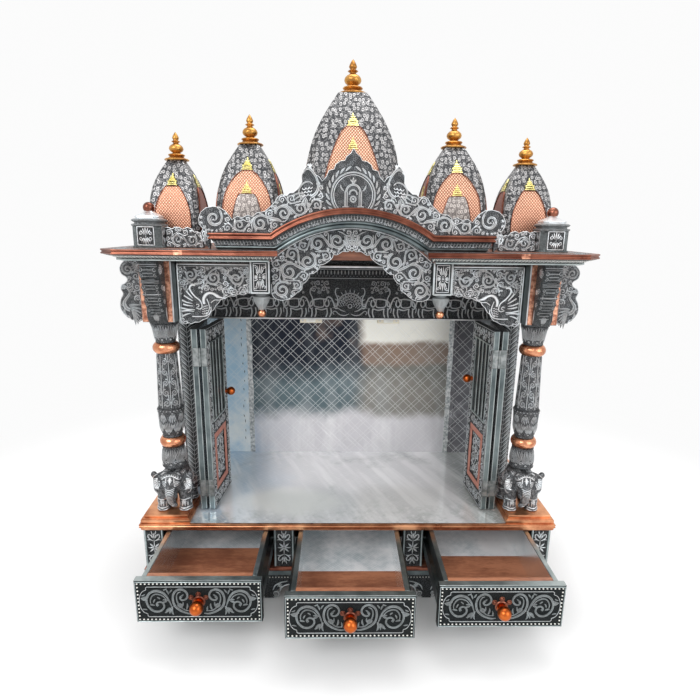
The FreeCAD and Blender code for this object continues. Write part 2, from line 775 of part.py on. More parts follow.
def plate_and_knuckles(edge_x, side, axis, y_range, outer):
    """Hinge halves on a leaf's edge. side is the way from the edge to the plate's seat, -1 or 1.
    An outer half has the two end knuckles and the pin, an inner half the middle knuckle."""
    halves = []
    third = hinge_length / 3
    plate_x = sorted((edge_x, edge_x + side * hinge_plate))
    knuckle_face = y_range[0] if axis.y < y_range[0] else y_range[1]
    tab_y = sorted((knuckle_face, axis.y))
    for middle in hinge_heights():
        low = middle - hinge_length / 2
        parts = [block(plate_x, y_range, (low, low + hinge_length))]
        spans = [(low, low + third - hinge_slot), (low + 2 * third + hinge_slot, low + hinge_length)]
        if not outer:
            spans = [(low + third, low + 2 * third)]
        for bottom, top in spans:
            parts.append(Part.makeCylinder(hinge_radius, top - bottom, V(axis.x, axis.y, bottom)))
            parts.append(block(plate_x, tab_y, (bottom, top)))
        pin_radius = hinge_pin_radius if outer else hinge_pin_radius + hinge_bore_gap
        pin = Part.makeCylinder(pin_radius, hinge_length, V(axis.x, axis.y, low))
        halves.append(joined(parts + [pin]) if outer else joined(parts).cut(pin))
    return halves


outer_start = -room_half + leaf_side_gap
outer_end = outer_start + leaf_width
inner_start = outer_end + leaf_side_gap
inner_end = inner_start + leaf_width
leaf_y = (jamb_front, jamb_front + leaf_thickness)
near_plate_y = (jamb_front, leaf_y[1] - hinge_plate_inset)
far_plate_y = (jamb_front + hinge_plate_inset, leaf_y[1])


def seat_cutter(edge_x, side, y_range):
    plate_x = sorted((edge_x - side * overrun, edge_x + side * hinge_plate))
    return [block(plate_x, y_range, (middle - hinge_length / 2, middle + hinge_length / 2))
            for middle in hinge_heights()]


outer_leaf = door_leaf(outer_start)
outer_leaf = outer_leaf.cut(Part.makeCompound(
    seat_cutter(outer_start, 1, near_plate_y) + seat_cutter(outer_end, -1, far_plate_y)))
inner_leaf = door_leaf(inner_start)
inner_leaf = inner_leaf.cut(Part.makeCompound(seat_cutter(inner_start, 1, far_plate_y)))
jamb_hinges = plate_and_knuckles(-room_half, -1, jamb_axis, (jamb_front, jamb_plate_y[1]), True)
outer_hinges = plate_and_knuckles(outer_start, 1, jamb_axis, near_plate_y, False)
outer_hinges += plate_and_knuckles(outer_end, -1, fold_axis, far_plate_y, True)
inner_hinges = plate_and_knuckles(inner_start, 1, fold_axis, far_plate_y, False)


def door_knob(height):
    knob = ball_knob(door_knob_radius, door_knob_stem_radius, door_knob_flange_radius, door_knob_flange,
                     door_knob_reach)
    knob.translate(V(inner_end - door_knob_edge, jamb_front, deck_top + height))
    return knob


def folded_outer(shape):
    return turned_about(shape, jamb_axis, -fold_angle)


def folded_inner(shape):
    return folded_outer(turned_about(shape, fold_axis, 2 * fold_angle))


# Roof: board, canted cornice, hood over the arch, and their copper edges


def roof_outline(out):
    """The roof's plan, grown outwards by a distance, with its front corners cut off."""
    side, front = roof_half + out, roof_front - out
    corner = roof_corner + out * (2 - math.sqrt(2))
    return [(-side, deck_depth), (-side, front + corner), (-side + corner, front),
            (side - corner, front), (side, front + corner), (side, deck_depth)]


def roof_slab(out, z_range):
    return board_xy(roof_outline(out), z_range)


def flared_slab(low_out, high_out, z_range):
    wires = []
    for out, height in ((low_out, z_range[0]), (high_out, z_range[1])):
        corners = [V(x, y, height) for x, y in roof_outline(out)]
        wires.append(Part.makePolygon(corners + corners[:1]))
    return Part.makeLoft(wires, True, True)


arch_void = disc_xz(0, hood_centre, hood_inner_radius, (roof_front - cornice_edge_out - overrun, stage_back))
bead_top = roof_bottom + cornice_bead_height
cove_top = bead_top + cornice_cove_height
roof_core = roof_slab(0, (roof_bottom - overrun, roof_top + overrun))
roof = roof_slab(0, (roof_bottom, roof_top)).cut(arch_void)
chajja = joined([roof_slab(cornice_bead_out, (roof_bottom, bead_top)),
                 flared_slab(cornice_bead_out, cornice_cove_out, (bead_top, cove_top)),
                 roof_slab(cornice_core_out, (cove_top, roof_top))])
chajja = chajja.cut(roof_core).cut(arch_void)
chajja_edge = roof_slab(cornice_edge_out, (cove_top, roof_top))
chajja_edge = chajja_edge.cut(roof_slab(cornice_core_out, (cove_top - overrun, roof_top + overrun)))
chajja_edge = chajja_edge.cut(arch_void)


def hood_layer(half, outer_radius, inner_radius, z_range, front):
    """One layer of the upper cornice: straight at both ends, and arched over the middle."""
    y_range = (front, stage_back)
    straight = block((-half, half), y_range, z_range)
    dome = disc_xz(0, hood_centre, outer_radius, y_range)
    dome = dome.common(block((-half, half), y_range, (z_range[0], stage_top + 2 * hood_rise)))
    void = disc_xz(0, hood_centre, inner_radius, (front - overrun, stage_back + overrun))
    return joined([straight, dome]).cut(void)


edge_inner_radius = hood_outer_radius - hood_edge_band
cove_inner_radius = edge_inner_radius - hood_cove_band
stage_edge_bottom = stage_top - stage_edge_height
stage_bead_top = roof_top + stage_bead_height
hood_edge = hood_layer(stage_half, hood_outer_radius, edge_inner_radius,
                       (stage_edge_bottom, stage_top), stage_front)
hood = joined([
    hood_layer(stage_half - stage_cove_inset, edge_inner_radius, cove_inner_radius,
               (stage_bead_top, stage_edge_bottom), stage_cove_front),
    hood_layer(stage_half - stage_bead_inset, cove_inner_radius, hood_inner_radius,
               (roof_top, stage_bead_top), stage_bead_front)])

# Crest: leaf scrolls, two birds and a round medallion, standing on the upper cornice

crest_y = (crest_front, crest_front + crest_thickness)
crest_core_shares = [(0.96, -0.2), (0.97, 0.22), (0.8, 0.1), (0.62, 0.15), (0.5, 0.25), (0.36, 0.42),
                     (0.3, 0.62), (0.25, 0.78), (0.2, 0.66), (0.12, 0.8), (0, 0.98)]
crest_lobe_shares = [(0.9, 0.19, 0.075), (0.74, 0.1, 0.05), (0.6, 0.16, 0.055), (0.46, 0.32, 0.06),
                     (0.33, 0.5, 0.085), (0.27, 0.76, 0.035), (0.16, 0.6, 0.1)]


def crest_panel():
    right = scaled(crest_core_shares, crest_half, crest_height, 0, stage_top)
    left = [(-x, z) for x, z in reversed(right[:-1])]
    parts = [board_xz(right + left, crest_y)]
    for x_share, z_share, radius_share in crest_lobe_shares:
        for side in (-1, 1):
            parts.append(disc_xz(side * x_share * crest_half, stage_top + z_share * crest_height,
                                 radius_share * crest_half, crest_y))
    parts.append(disc_xz(0, stage_top + crest_height * 0.58, medallion_radius, crest_y))
    cut_y = (crest_y[0] - overrun, crest_y[1] + overrun)
    whole = joined(parts).cut(disc_xz(0, hood_centre, hood_outer_radius, cut_y))
    below = block((-stage_half, stage_half), (stage_front, stage_back), (roof_top - overrun, stage_top))
    whole = whole.cut(below)
    return whole.common(block((-crest_half, crest_half), crest_y, (roof_top, stage_top + crest_height)))


side_crest_start = crest_half + side_crest_gap
roof_post_x = deck_half - roof_post_inset
side_crest_end = roof_post_x - roof_post_width / 2
side_crest_y = (side_crest_front, side_crest_front + side_crest_thickness)
side_crest_shares = [(0, 0), (1, 0), (1, 0.75), ((0.8, 0.95), (0.6, 0.8)), ((0.35, 1), (0.12, 0.7)), (0, 0.5)]
side_crest_width = side_crest_end - side_crest_start
side_crest_outline = share_outline(side_crest_shares, side_crest_width, side_crest_height,
                                   side_crest_start, roof_top)
side_crest = board_xz(side_crest_outline, side_crest_y)


def chamfered_square(half, corner, height, x, y):
    steps = [(half, half - corner), (half - corner, half), (corner - half, half), (-half, half - corner),
             (-half, corner - half), (corner - half, -half), (half - corner, -half), (half, corner - half)]
    corners = [V(x + u, y + v, height) for u, v in steps]
    return Part.makePolygon(corners + corners[:1])


roof_neck_shares = [(0, 0), (0.8, 0), (0.8, 0.25), (0.95, 0.3), (0.95, 0.5)]


def roof_post():
    """A squat post with cut corners, a moulded cap and a ball."""
    half = roof_post_width / 2
    shoulder = roof_top + roof_post_height
    cap_top = shoulder + roof_cap_height
    base = Part.makeLoft([chamfered_square(half, roof_post_chamfer, height, roof_post_x, roof_post_y)
                          for height in (roof_top, shoulder)], True, True)
    neck = scaled(roof_neck_shares, half, roof_cap_height, 0, shoulder)
    profile = neck + [((half * 0.55, shoulder + roof_cap_height * 0.75), (roof_ball_radius * 0.7, cap_top)),
                      (0, cap_top)]
    ball = Part.makeSphere(roof_ball_radius, V(roof_post_x, roof_post_y, cap_top + roof_ball_radius * 0.7))
    return joined([base, turned(profile, roof_post_x, roof_post_y), ball])


# Domes: four curved faces with cut corners, on a low square base, each with a turned finial

dome_level_shares = [0, 0.2, 0.4, 0.55, 0.68, 0.8, 0.9, 1.0]
dome_width_shares = [0.975, 1.0, 0.985, 0.925, 0.825, 0.67, 0.5, 0.31]
kalash_shares = [(0, 0), (0.44, 0), (0.4, 0.07), (0.26, 0.11), (0.27, 0.16), (0.27, 0.22), (0.2, 0.25),
                 (0.17, 0.29), ((0.29, 0.45), (0.15, 0.62)), (0.11, 0.66), (0.18, 0.68), (0.18, 0.72),
                 (0.1, 0.76), ((0.13, 0.85), (0.06, 0.94)), (0, 1)]


def dome_base_half(width):
    return width / 2 * dome_width_shares[0] + dome_base_ledge


def dome(x, y, width, height):
    half = width / 2
    sections = []
    for level, share in zip(dome_level_shares, dome_width_shares):
        sections.append(chamfered_square(half * share, half * share * dome_corner_share,
                                         roof_top + dome_base_height + level * height, x, y))
    shell = Part.makeLoft(sections, True, False)
    base_half = dome_base_half(width)
    base = block((x - base_half, x + base_half), (y - base_half, y + base_half),
                 (roof_top, roof_top + dome_base_height))
    return joined([base, shell])


def kalash(x, y, height, bottom):
    return turned(share_outline(kalash_shares, height, height, 0, bottom), x, y)


centre_dome_y = stage_back + dome_front_gap + dome_base_half(centre_dome_width)
inner_dome_y = stage_back + inner_dome_front_gap + dome_base_half(inner_dome_width)
outer_dome_y = roof_post_y + roof_post_width / 2 + outer_dome_front_gap + dome_base_half(outer_dome_width)
outer_dome_x = roof_half - outer_dome_end_gap - outer_dome_width / 2
spare_width = outer_dome_x - outer_dome_width / 2 - inner_dome_width - centre_dome_width / 2
inner_dome_x = (centre_dome_width + inner_dome_width) / 2 + inner_dome_place_share * spare_width
dome_sizes = [(0, centre_dome_y, centre_dome_width, centre_dome_height, centre_kalash_height)]
for side in (-1, 1):
    dome_sizes += [
        (side * inner_dome_x, inner_dome_y, inner_dome_width, inner_dome_height, inner_kalash_height),
        (side * outer_dome_x, outer_dome_y, outer_dome_width, outer_dome_height, outer_kalash_height)]

# Every node of the assembly and its solids

nodes = {
    "plinth_front": [plinth_front],
    "plinth_boards": [plinth_rear] + pair(side_apron),
    "cabinet_bottom": [cabinet_bottom],
    "cabinet_sides": pair(cabinet_side),
    "cabinet_back": [cabinet_rear],
    "drawer_dividers": [board for divider in dividers for board in pair(divider)],
    "front_stiles": [board for stile in stiles for board in pair(stile)],
    "base_copper_strip": [base_strip],
    "deck": [deck],
    "deck_copper_edge": [deck_edge],
    "deck_sheet": [deck_sheet],
    "cabinet_rails": channels,
    "pillar_blocks": pair(stepped_block()),
    "elephants": pair(elephant()),
    "pillars": pair(turned_pillar()),
    "pillar_rings": pair(pillar_ring(low_ring_bottom)) + pair(pillar_ring(high_ring_bottom)),
    "porch_posts": pair(post),
    "front_corbels": pair(front_corbel),
    "side_brackets": pair(side_bracket),
    "spandrels": pair(spandrel),
    "rosette_blocks": pair(rosette),
    "pendants": pair(pendant),
    "arch_panel": [cusped_arch()],
    "side_walls": pair(side_wall),
    "back_wall": [back_wall],
    "back_sheet": [back_sheet],
    "jamb_boards": pair(left_jamb),
    "feather_columns": pair(column),
    "lintel": [lintel],
    "magnetic_catches": pair(catch),
    "roof_board": [roof],
    "chajja": chajja.Solids,
    "chajja_copper_edge": chajja_edge.Solids,
    "hood": hood.Solids,
    "hood_copper_edge": [hood_edge],
    "crest": [crest_panel()],
    "side_crests": pair(side_crest),
    "roof_posts": pair(roof_post()),
    "domes": [dome(x, y, width, height) for x, y, width, height, _ in dome_sizes],
    "kalashes": [kalash(x, y, finial, roof_top + dome_base_height + height)
                 for x, y, _, height, finial in dome_sizes],
    "jamb_hinges": jamb_hinges + [mirrored(half) for half in jamb_hinges],
}

for name, bay_x, pull in (("left", -outer_bay_x, drawer_pull_left), ("middle", 0, drawer_pull_middle),
                          ("right", outer_bay_x, drawer_pull_right)):
    nodes["drawer_box_" + name] = placed_drawer([drawer_box] + pair(slider), bay_x, pull)
    nodes["drawer_front_" + name] = placed_drawer([drawer_front], bay_x, pull)
    nodes["drawer_knob_" + name] = placed_drawer([drawer_knob], bay_x, pull)

knob_heights = {"left": door_knob_left_height, "right": door_knob_right_height}
for name in ("left", "right"):
    facing = (lambda shape: shape) if name == "left" else mirrored
    nodes["door_outer_" + name] = [facing(folded_outer(outer_leaf))]
    nodes["door_inner_" + name] = [facing(folded_inner(inner_leaf))]
    nodes["door_outer_hinges_" + name] = [facing(folded_outer(half)) for half in outer_hinges]
    nodes["door_inner_hinges_" + name] = [facing(folded_inner(half)) for half in inner_hinges]
    nodes["door_knob_" + name] = [facing(folded_inner(door_knob(knob_heights[name])))]

# Shift to the origin, write each node, and print the places that the joints and mounts need

whole = Part.makeCompound([solid for solids in nodes.values() for solid in solids]).BoundBox
shift = V(-whole.Center.x, -whole.Center.y, -whole.ZMin)
os.makedirs("parts", exist_ok=True)
for name, solids in nodes.items():
    compound = Part.makeCompound(solids)
    compound.translate(shift)
    compound.exportStep("parts/" + name + ".step")
    valid = all(solid.isValid() and len(solid.Solids) == 1 for solid in solids)
    print("%-26s solids %2d volume %10.0f %s" % (name, len(solids), sum(s.Volume for s in solids),
                                                 "" if valid else "CHECK"))

turn_to_rest = FreeCAD.Placement(CENTRE, FreeCAD.Rotation(ALONG_Z, -fold_angle), jamb_axis)
folded_fold_axis = turn_to_rest.multVec(fold_axis)
print("nodes %d, box %.1f x %.1f x %.1f" % (len(nodes), whole.XLength, whole.YLength, whole.ZLength))
print("jamb axis left", jamb_axis + shift)
print("fold axis left", folded_fold_axis + shift)
print("shift", shift)
for label, value in (("deck top", deck_top), ("roof bottom", roof_bottom), ("roof top", roof_top),
                     ("stage top", stage_top), ("lintel bottom", lintel_bottom), ("bay width", bay_width),
                     ("hood centre", hood_centre), ("hood outer radius", hood_outer_radius)):
    print("%-20s %.3f" % (label, value))
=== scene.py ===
import math
import random
import bpy
import numpy as np
from mathutils import Matrix, Vector
from mathutils.bvhtree import BVHTree


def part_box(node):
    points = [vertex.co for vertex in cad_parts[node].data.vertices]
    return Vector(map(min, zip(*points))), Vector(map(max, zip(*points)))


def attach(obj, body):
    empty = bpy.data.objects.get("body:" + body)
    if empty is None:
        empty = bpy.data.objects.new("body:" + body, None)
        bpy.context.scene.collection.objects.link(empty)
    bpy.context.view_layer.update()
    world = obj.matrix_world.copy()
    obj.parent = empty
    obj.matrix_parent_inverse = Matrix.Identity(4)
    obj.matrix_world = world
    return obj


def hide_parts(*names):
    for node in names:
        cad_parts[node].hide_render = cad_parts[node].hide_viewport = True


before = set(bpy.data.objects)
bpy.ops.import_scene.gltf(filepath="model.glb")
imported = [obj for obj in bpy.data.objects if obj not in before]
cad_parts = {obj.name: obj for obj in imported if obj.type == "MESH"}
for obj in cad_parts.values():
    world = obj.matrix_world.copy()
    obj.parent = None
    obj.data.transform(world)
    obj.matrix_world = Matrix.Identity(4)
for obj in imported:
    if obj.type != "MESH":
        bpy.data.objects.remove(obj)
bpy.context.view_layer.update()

# Metres, in the frame's own axes: X to the right, Y to the back, Z up from the floor.
print("frame loaded:", len(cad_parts), "nodes")


deckLow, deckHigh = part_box("deck_copper_edge")
roofLow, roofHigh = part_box("roof_board")
deckTop, roofTop, frontY = deckHigh.z, roofHigh.z, deckLow.y
upward = math.pi / 2


# Modelling tools

def deselect():
    if bpy.context.mode != "OBJECT":
        bpy.ops.object.mode_set(mode="OBJECT")
    bpy.ops.object.select_all(action="DESELECT")


def pick(piece):
    deselect()
    piece.select_set(True)
    bpy.context.view_layer.objects.active = piece
    return piece


def editAll(piece):
    pick(piece)
    bpy.ops.object.mode_set(mode="EDIT")
    bpy.ops.mesh.select_all(action="SELECT")


def doneEditing():
    bpy.ops.mesh.normals_make_consistent(inside=False)
    bpy.ops.object.mode_set(mode="OBJECT")


def newObject(name, data):
    piece = bpy.data.objects.new(name, data)
    bpy.context.collection.objects.link(piece)
    return piece


def startMesh(points, edges=(), faces=()):
    mesh = bpy.data.meshes.new("piece")
    mesh.from_pydata([tuple(p) for p in points], edges, faces)
    return pick(newObject("piece", mesh))


def modify(piece, kind, **settings):
    pick(piece)
    modifier = piece.modifiers.new(kind.lower(), kind)
    for key, value in settings.items():
        setattr(modifier, key, value)
    bpy.ops.object.modifier_apply(modifier=modifier.name)
    return piece


def soften(piece, width, segments=2, angle=30):
    return modify(piece, "BEVEL", width=width, segments=segments, limit_method="ANGLE",
                  angle_limit=math.radians(angle))


def smooth(piece, angle=35):
    pick(piece)
    bpy.ops.object.shade_smooth_by_angle(angle=math.radians(angle))
    return piece


def joinAll(name, parts):
    pick(parts[0])
    for part in parts[1:]:
        part.select_set(True)
    if len(parts) > 1:
        bpy.ops.object.join()
    parts[0].name = name
    return parts[0]


def readPoints(mesh):
    points = np.empty(len(mesh.vertices) * 3, np.float32)
    mesh.vertices.foreach_get("co", points)
    return points.reshape(-1, 3).astype(float)


def movePoints(piece, change):
    mesh = piece.data
    mesh.vertices.foreach_set("co", np.asarray(change(readPoints(mesh)), np.float32).ravel())
    mesh.update()
    return piece


def withMirror(piece):
    # The piece, and a copy of it on the other side.
    copy = piece.copy()
    copy.data = piece.data.copy()
    bpy.context.collection.objects.link(copy)
    copy.data.transform(Matrix.Scale(-1, 4, Vector((1, 0, 0))))
    copy.data.flip_normals()
    return [piece, copy]


def tint(piece, tone, teal=0.0):
    # Writes two numbers on every point, for the finishes to read: tone is silver, teal is the smooth border.
    mesh = piece.data
    for name, value in (("tone", tone), ("teal", teal)):
        layer = mesh.attributes.get(name) or mesh.attributes.new(name, "FLOAT", "POINT")
        layer.data.foreach_set("value", np.broadcast_to(np.asarray(value, np.float32), len(mesh.vertices)).copy())
    return piece


def cleanBox(low, high, bevel=0.0):
    low, high = Vector(low), Vector(high)
    deselect()
    bpy.ops.mesh.primitive_cube_add(size=1, location=(low + high) / 2)
    piece = bpy.context.object
    piece.scale = high - low
    bpy.ops.object.transform_apply(location=True, rotation=True, scale=True)
    return soften(piece, bevel) if bevel else piece


def sideBox(side, xs, ys, zs, bevel=0.0):
    # A box from its ranges, on the left for side -1 and on the right for side 1.
    left, right = sorted(side * x for x in xs)
    return cleanBox((left, ys[0], zs[0]), (right, ys[1], zs[1]), bevel)


def board(outline, front, back, bevel=0.0):
    # An upright board that faces the front, from its outline in X and Z.
    piece = startMesh([(x, front, z) for x, z in outline], faces=[list(range(len(outline)))])
    editAll(piece)
    bpy.ops.mesh.extrude_region_move(TRANSFORM_OT_translate={"value": (0, back - front, 0)})
    bpy.ops.mesh.select_all(action="SELECT")
    doneEditing()
    return soften(piece, bevel, 1) if bevel else piece


def lathe(profile, x, y, steps, angle):
    # Turned about an upright axis, from (radius, height) points.
    piece = startMesh([(x + r, y, z) for r, z in profile], [(i, i + 1) for i in range(len(profile) - 1)])
    editAll(piece)
    bpy.ops.mesh.spin(steps=steps, angle=math.tau, center=(x, y, 0), axis=(0, 0, 1))
    bpy.ops.mesh.select_all(action="SELECT")
    bpy.ops.mesh.remove_doubles(threshold=0.00002)
    doneEditing()
    return smooth(piece, angle)


def ball(x, y, z, radius):
    profile = [(radius * math.sin(a), z - radius * math.cos(a)) for a in np.linspace(0.0, math.pi, 17)]
    return lathe(profile, x, y, 32, 60)


def rounded(points, steps=6):
    # A smooth line through points of any dimension.
    points = [np.array(p, float) for p in points]
    ends = [2 * points[0] - points[1]] + points + [2 * points[-1] - points[-2]]
    line = []
    for a, b, c, d in zip(ends, ends[1:], ends[2:], ends[3:]):
        for step in range(steps):
            t = step / steps
            line.append(0.5 * (2 * b + (c - a) * t + (2 * a - 5 * b + 4 * c - d) * t ** 2
                               + (3 * b - a - 3 * c + d) * t ** 3))
    return line + [points[-1]]


def loft(rings):
    # Quads between closed rings of the same number of points, with capped ends.
    count = len(rings[0])
    faces = [(row + i, row + (i + 1) % count, row + count + (i + 1) % count, row + count + i)
             for row in range(0, count * (len(rings) - 1), count) for i in range(count)]
    faces += [tuple(range(count - 1, -1, -1)), tuple((len(rings) - 1) * count + i for i in range(count))]
    piece = startMesh([p for ring in rings for p in ring], faces=faces)
    editAll(piece)
    doneEditing()
    return piece


def cutSquare(x, y, z, reach, share):
    # A level square with cut corners; share is how much of each half side stays straight.
    k, r = reach * share, reach
    return [(x + u, y + v, z) for u, v in ((r, -k), (r, k), (k, r), (-k, r), (-r, k), (-r, -k), (-k, -r), (k, -r))]


def mm(points):
    return [tuple(value / 1000 for value in point) for point in points]


def polar(u, v, reach, angle):
    return u + reach * math.cos(angle), v + reach * math.sin(angle)


# Engraver's strokes: each is a line of (u, v) points with a half-width at every point

def spiral(u, v, size, heading=0.0, hand=1, turns=1.35, weight=0.13):
    count = max(9, int((11 + size * 620) * turns))
    line, widths = [], []
    for step in range(count + 1):
        t = step / count
        angle = heading + hand * math.tau * turns * t
        reach = size * (1 - 0.86 * t ** 0.8)
        line.append(polar(u, v, reach, angle))
        widths.append(size * weight * (0.35 + 0.65 * math.sin(math.pi * min(1, 0.15 + t)) ** 0.6))
    widths[-1] = size * weight * 1.25
    widths[-2] = size * weight * 1.1
    return [(line, widths)]


def leaf(u, v, heading, length, width, bend=0.7, steps=6):
    line, widths = [(u, v)], [width * 0.25]
    for step in range(1, steps + 1):
        t = step / steps
        angle = heading + bend * t
        u += length / steps * math.cos(angle)
        v += length / steps * math.sin(angle)
        line.append((u, v))
        widths.append(max(width * 0.12, width * math.sin(math.pi * min(1, t * 0.92 + 0.08)) ** 0.75))
    return [(line, widths)]


def acanthus(u, v, size, heading=0.0, hand=1, turns=1.3, leaves=6, weight=0.12):
    # A scroll that curls in, with leaves on its outside: one hugs the scroll and the next curls away.
    strokes = spiral(u, v, size, heading, hand, turns + 0.25, weight)
    line = strokes[0][0]
    step = max(1, int(0.85 * len(line) / leaves / (turns + 0.25)))
    for index in range(leaves):
        at = min(index * step, len(line) - 3)
        (u0, v0), (u1, v1) = line[at:at + 2]
        along = math.atan2(v1 - v0, u1 - u0)
        if index % 2:
            strokes += leaf(u0, v0, along - hand * 0.60, size * 0.60, size * weight * 0.70, -hand * 1.3, 5)
        else:
            strokes += leaf(u0, v0, along - hand * 0.70, size * 0.85, size * weight * 0.55, hand * 1.0, 6)
    return strokes


def fan(u, v, heading, size, count=5, spread=1.9, width=0.1):
    # Leaves that spread from a bud, each free of the next.
    strokes = dot(*polar(u, v, size * 0.08, heading), size * 0.07)
    for index in range(count):
        share = index / (count - 1) - 0.5
        angle = heading + spread * share
        strokes += leaf(*polar(u, v, size * 0.22, angle), angle, size * 0.8 * (1 - 0.35 * abs(share)), size * width,
                        -0.9 * share, 4)
    return strokes


def rosette(u, v, size, petals, width):
    strokes = []
    for index in range(petals):
        angle = math.tau * index / petals
        strokes += leaf(*polar(u, v, size * 0.2, angle), angle, size * 0.78, size * width, 0.0, 4)
    return strokes + dot(u, v, size * 0.2)


def dot(u, v, radius):
    return [([(u + radius * t, v) for t in (-0.92, -0.6, 0, 0.6, 0.92)],
             [radius * w for w in (0.4, 0.8, 1, 0.8, 0.4)])]


def ring(u, v, size, weight, steps=20, start=0.0, sweep=math.tau):
    return traced([polar(u, v, size, start + sweep * i / steps) for i in range(steps + 1)], weight)


def stroke(points, widths):
    # A smooth line through points, with one half-width or a row of them spread along it.
    line, widths = rounded(points, 4), np.atleast_1d(widths)
    spread = np.interp(np.linspace(0, 1, len(line)), np.linspace(0, 1, len(widths)), widths)
    return [([tuple(p) for p in line], list(spread))]


def penned(points, widths):
    # A stroke given in millimetres.
    return stroke(mm(points), np.array(widths) / 1000)


def traced(points, weight):
    return [(points, [weight] * len(points))]


def straight(points, weight):
    # A thin frame line, with its corners kept sharp by short steps.
    line = [(a[0] + (b[0] - a[0]) * t, a[1] + (b[1] - a[1]) * t)
            for a, b in zip(points, points[1:]) for t in (0.0, 0.03, 0.5, 0.97)]
    return traced(line + [points[-1]], weight)


def rectangle(low, high, weight):
    return straight([low, (high[0], low[1]), high, (low[0], high[1]), low], weight)


def flipped(strokes):
    return [([(-u, v) for u, v in line], widths) for line, widths in strokes]


def bothSides(strokes):
    return strokes + flipped(strokes)


def upAndDown(strokes):
    return strokes + [([(u, -v) for u, v in line], widths) for line, widths in strokes]


def shifted(strokes, du, dv, scale=1.0):
    return [([(du + scale * u, dv + scale * v) for u, v in line], [w * scale for w in widths])
            for line, widths in strokes]


def depthInside(outline, us, vs):
    # How far points lie within an outline; below zero where they are outside.
    hit, nearest = np.zeros(len(us), bool), np.full(len(us), 1e9)
    for (x0, y0), (x1, y1) in zip(outline, outline[1:] + outline[:1]):
        if y0 != y1:
            hit ^= ((y0 > vs) != (y1 > vs)) & (us < (x1 - x0) * (vs - y0) / (y1 - y0) + x0)
        span = max((x1 - x0) ** 2 + (y1 - y0) ** 2, 1e-12)
        t = np.clip(((us - x0) * (x1 - x0) + (vs - y0) * (y1 - y0)) / span, 0, 1)
        nearest = np.minimum(nearest, np.hypot(us - x0 - t * (x1 - x0), vs - y0 - t * (y1 - y0)))
    return np.where(hit, nearest, -nearest)


def scrollwork(outline, sizes, seed, keepOff=()):
    # Fills an outline with acanthus scrolls, each as large as its place allows, and the pockets with leaves.
    # keepOff holds (u, v, radius) places to leave free.
    weight, lap = 0.155, 1.14
    draw = np.random.default_rng(seed)
    us, vs = [p[0] for p in outline], [p[1] for p in outline]
    pace = max(sizes[-1] * 0.35, 0.0009)
    across, upwards = np.meshgrid(np.arange(min(us), max(us), pace), np.arange(min(vs), max(vs), pace))
    grid = np.stack([across, upwards], -1).reshape(-1, 2)

    def distance(u, v):
        return np.hypot(grid[:, 0] - u, grid[:, 1] - v)

    room = depthInside(outline, grid[:, 0], grid[:, 1])
    for u, v, radius in keepOff:
        room = np.minimum(room, distance(u, v) - radius)
    strokes, placed = [], []
    for turn in range(600):
        score = np.minimum(room, sizes[0]) * (1 + 0.12 * draw.random(len(grid)))
        best = int(np.argmax(score))
        size = min(float(room[best]), sizes[0]) * lap
        if size < sizes[-1] * 0.8:
            break
        u, v = grid[best]
        room = np.minimum(room, distance(u, v) - size * 0.90)
        heading = draw.uniform(0, math.tau)
        if size <= sizes[-1] * 1.35:
            strokes += fan(*polar(u, v, -size * 0.8, heading), heading, size * 1.9, 3, 1.3, 0.13)
            continue
        radius, hand = size * 0.80, 1
        near = min(placed, key=lambda p: math.hypot(p[0] - u, p[1] - v) - p[2], default=None)
        if near and math.hypot(near[0] - u, near[1] - v) < 1.7 * (near[2] + radius):
            # A stem leaves the neighbour's rim and runs on into this scroll the other way round.
            toward, hand = math.atan2(near[1] - v, near[0] - u), -near[3]
            heading = toward + hand * 0.5
            back = toward + math.pi + hand * 0.9
            middle = (math.hypot(near[0] - u, near[1] - v) - near[2] + radius) / 2
            strokes += stroke([polar(*near[:3], back), polar(*near[:3], back - hand * 0.5),
                               polar(u, v, middle, toward), polar(u, v, radius, heading)],
                              [radius * weight * k for k in (0.4, 1.0, 1.1, 0.8)])
        strokes += acanthus(u, v, radius, heading, hand, 1.3, 7 if size > 0.010 else 5, weight)
        placed.append((u, v, radius, hand))
    ends = np.array([line[-1] for line, widths in strokes])
    return [mark for mark, deep in zip(strokes, depthInside(outline, ends[:, 0], ends[:, 1])) if deep > -0.0004]


def swept(lines, resolution, **settings):
    # A mesh run along lines of points, as thick as their radii, with closed ends.
    curve = bpy.data.curves.new("lines", "CURVE")
    shape = dict(dimensions="3D", bevel_depth=1.0, bevel_resolution=resolution, use_fill_caps=True, **settings)
    for key, value in shape.items():
        setattr(curve, key, value)
    for points, radii in lines:
        spline = curve.splines.new("POLY")
        spline.points.add(len(points) - 1)
        spline.points.foreach_set("co", [c for p in points for c in (*p, 1.0)])
        spline.points.foreach_set("radius", radii)
    pick(newObject("lines", curve))
    bpy.ops.object.convert(target="MESH")
    return bpy.context.object


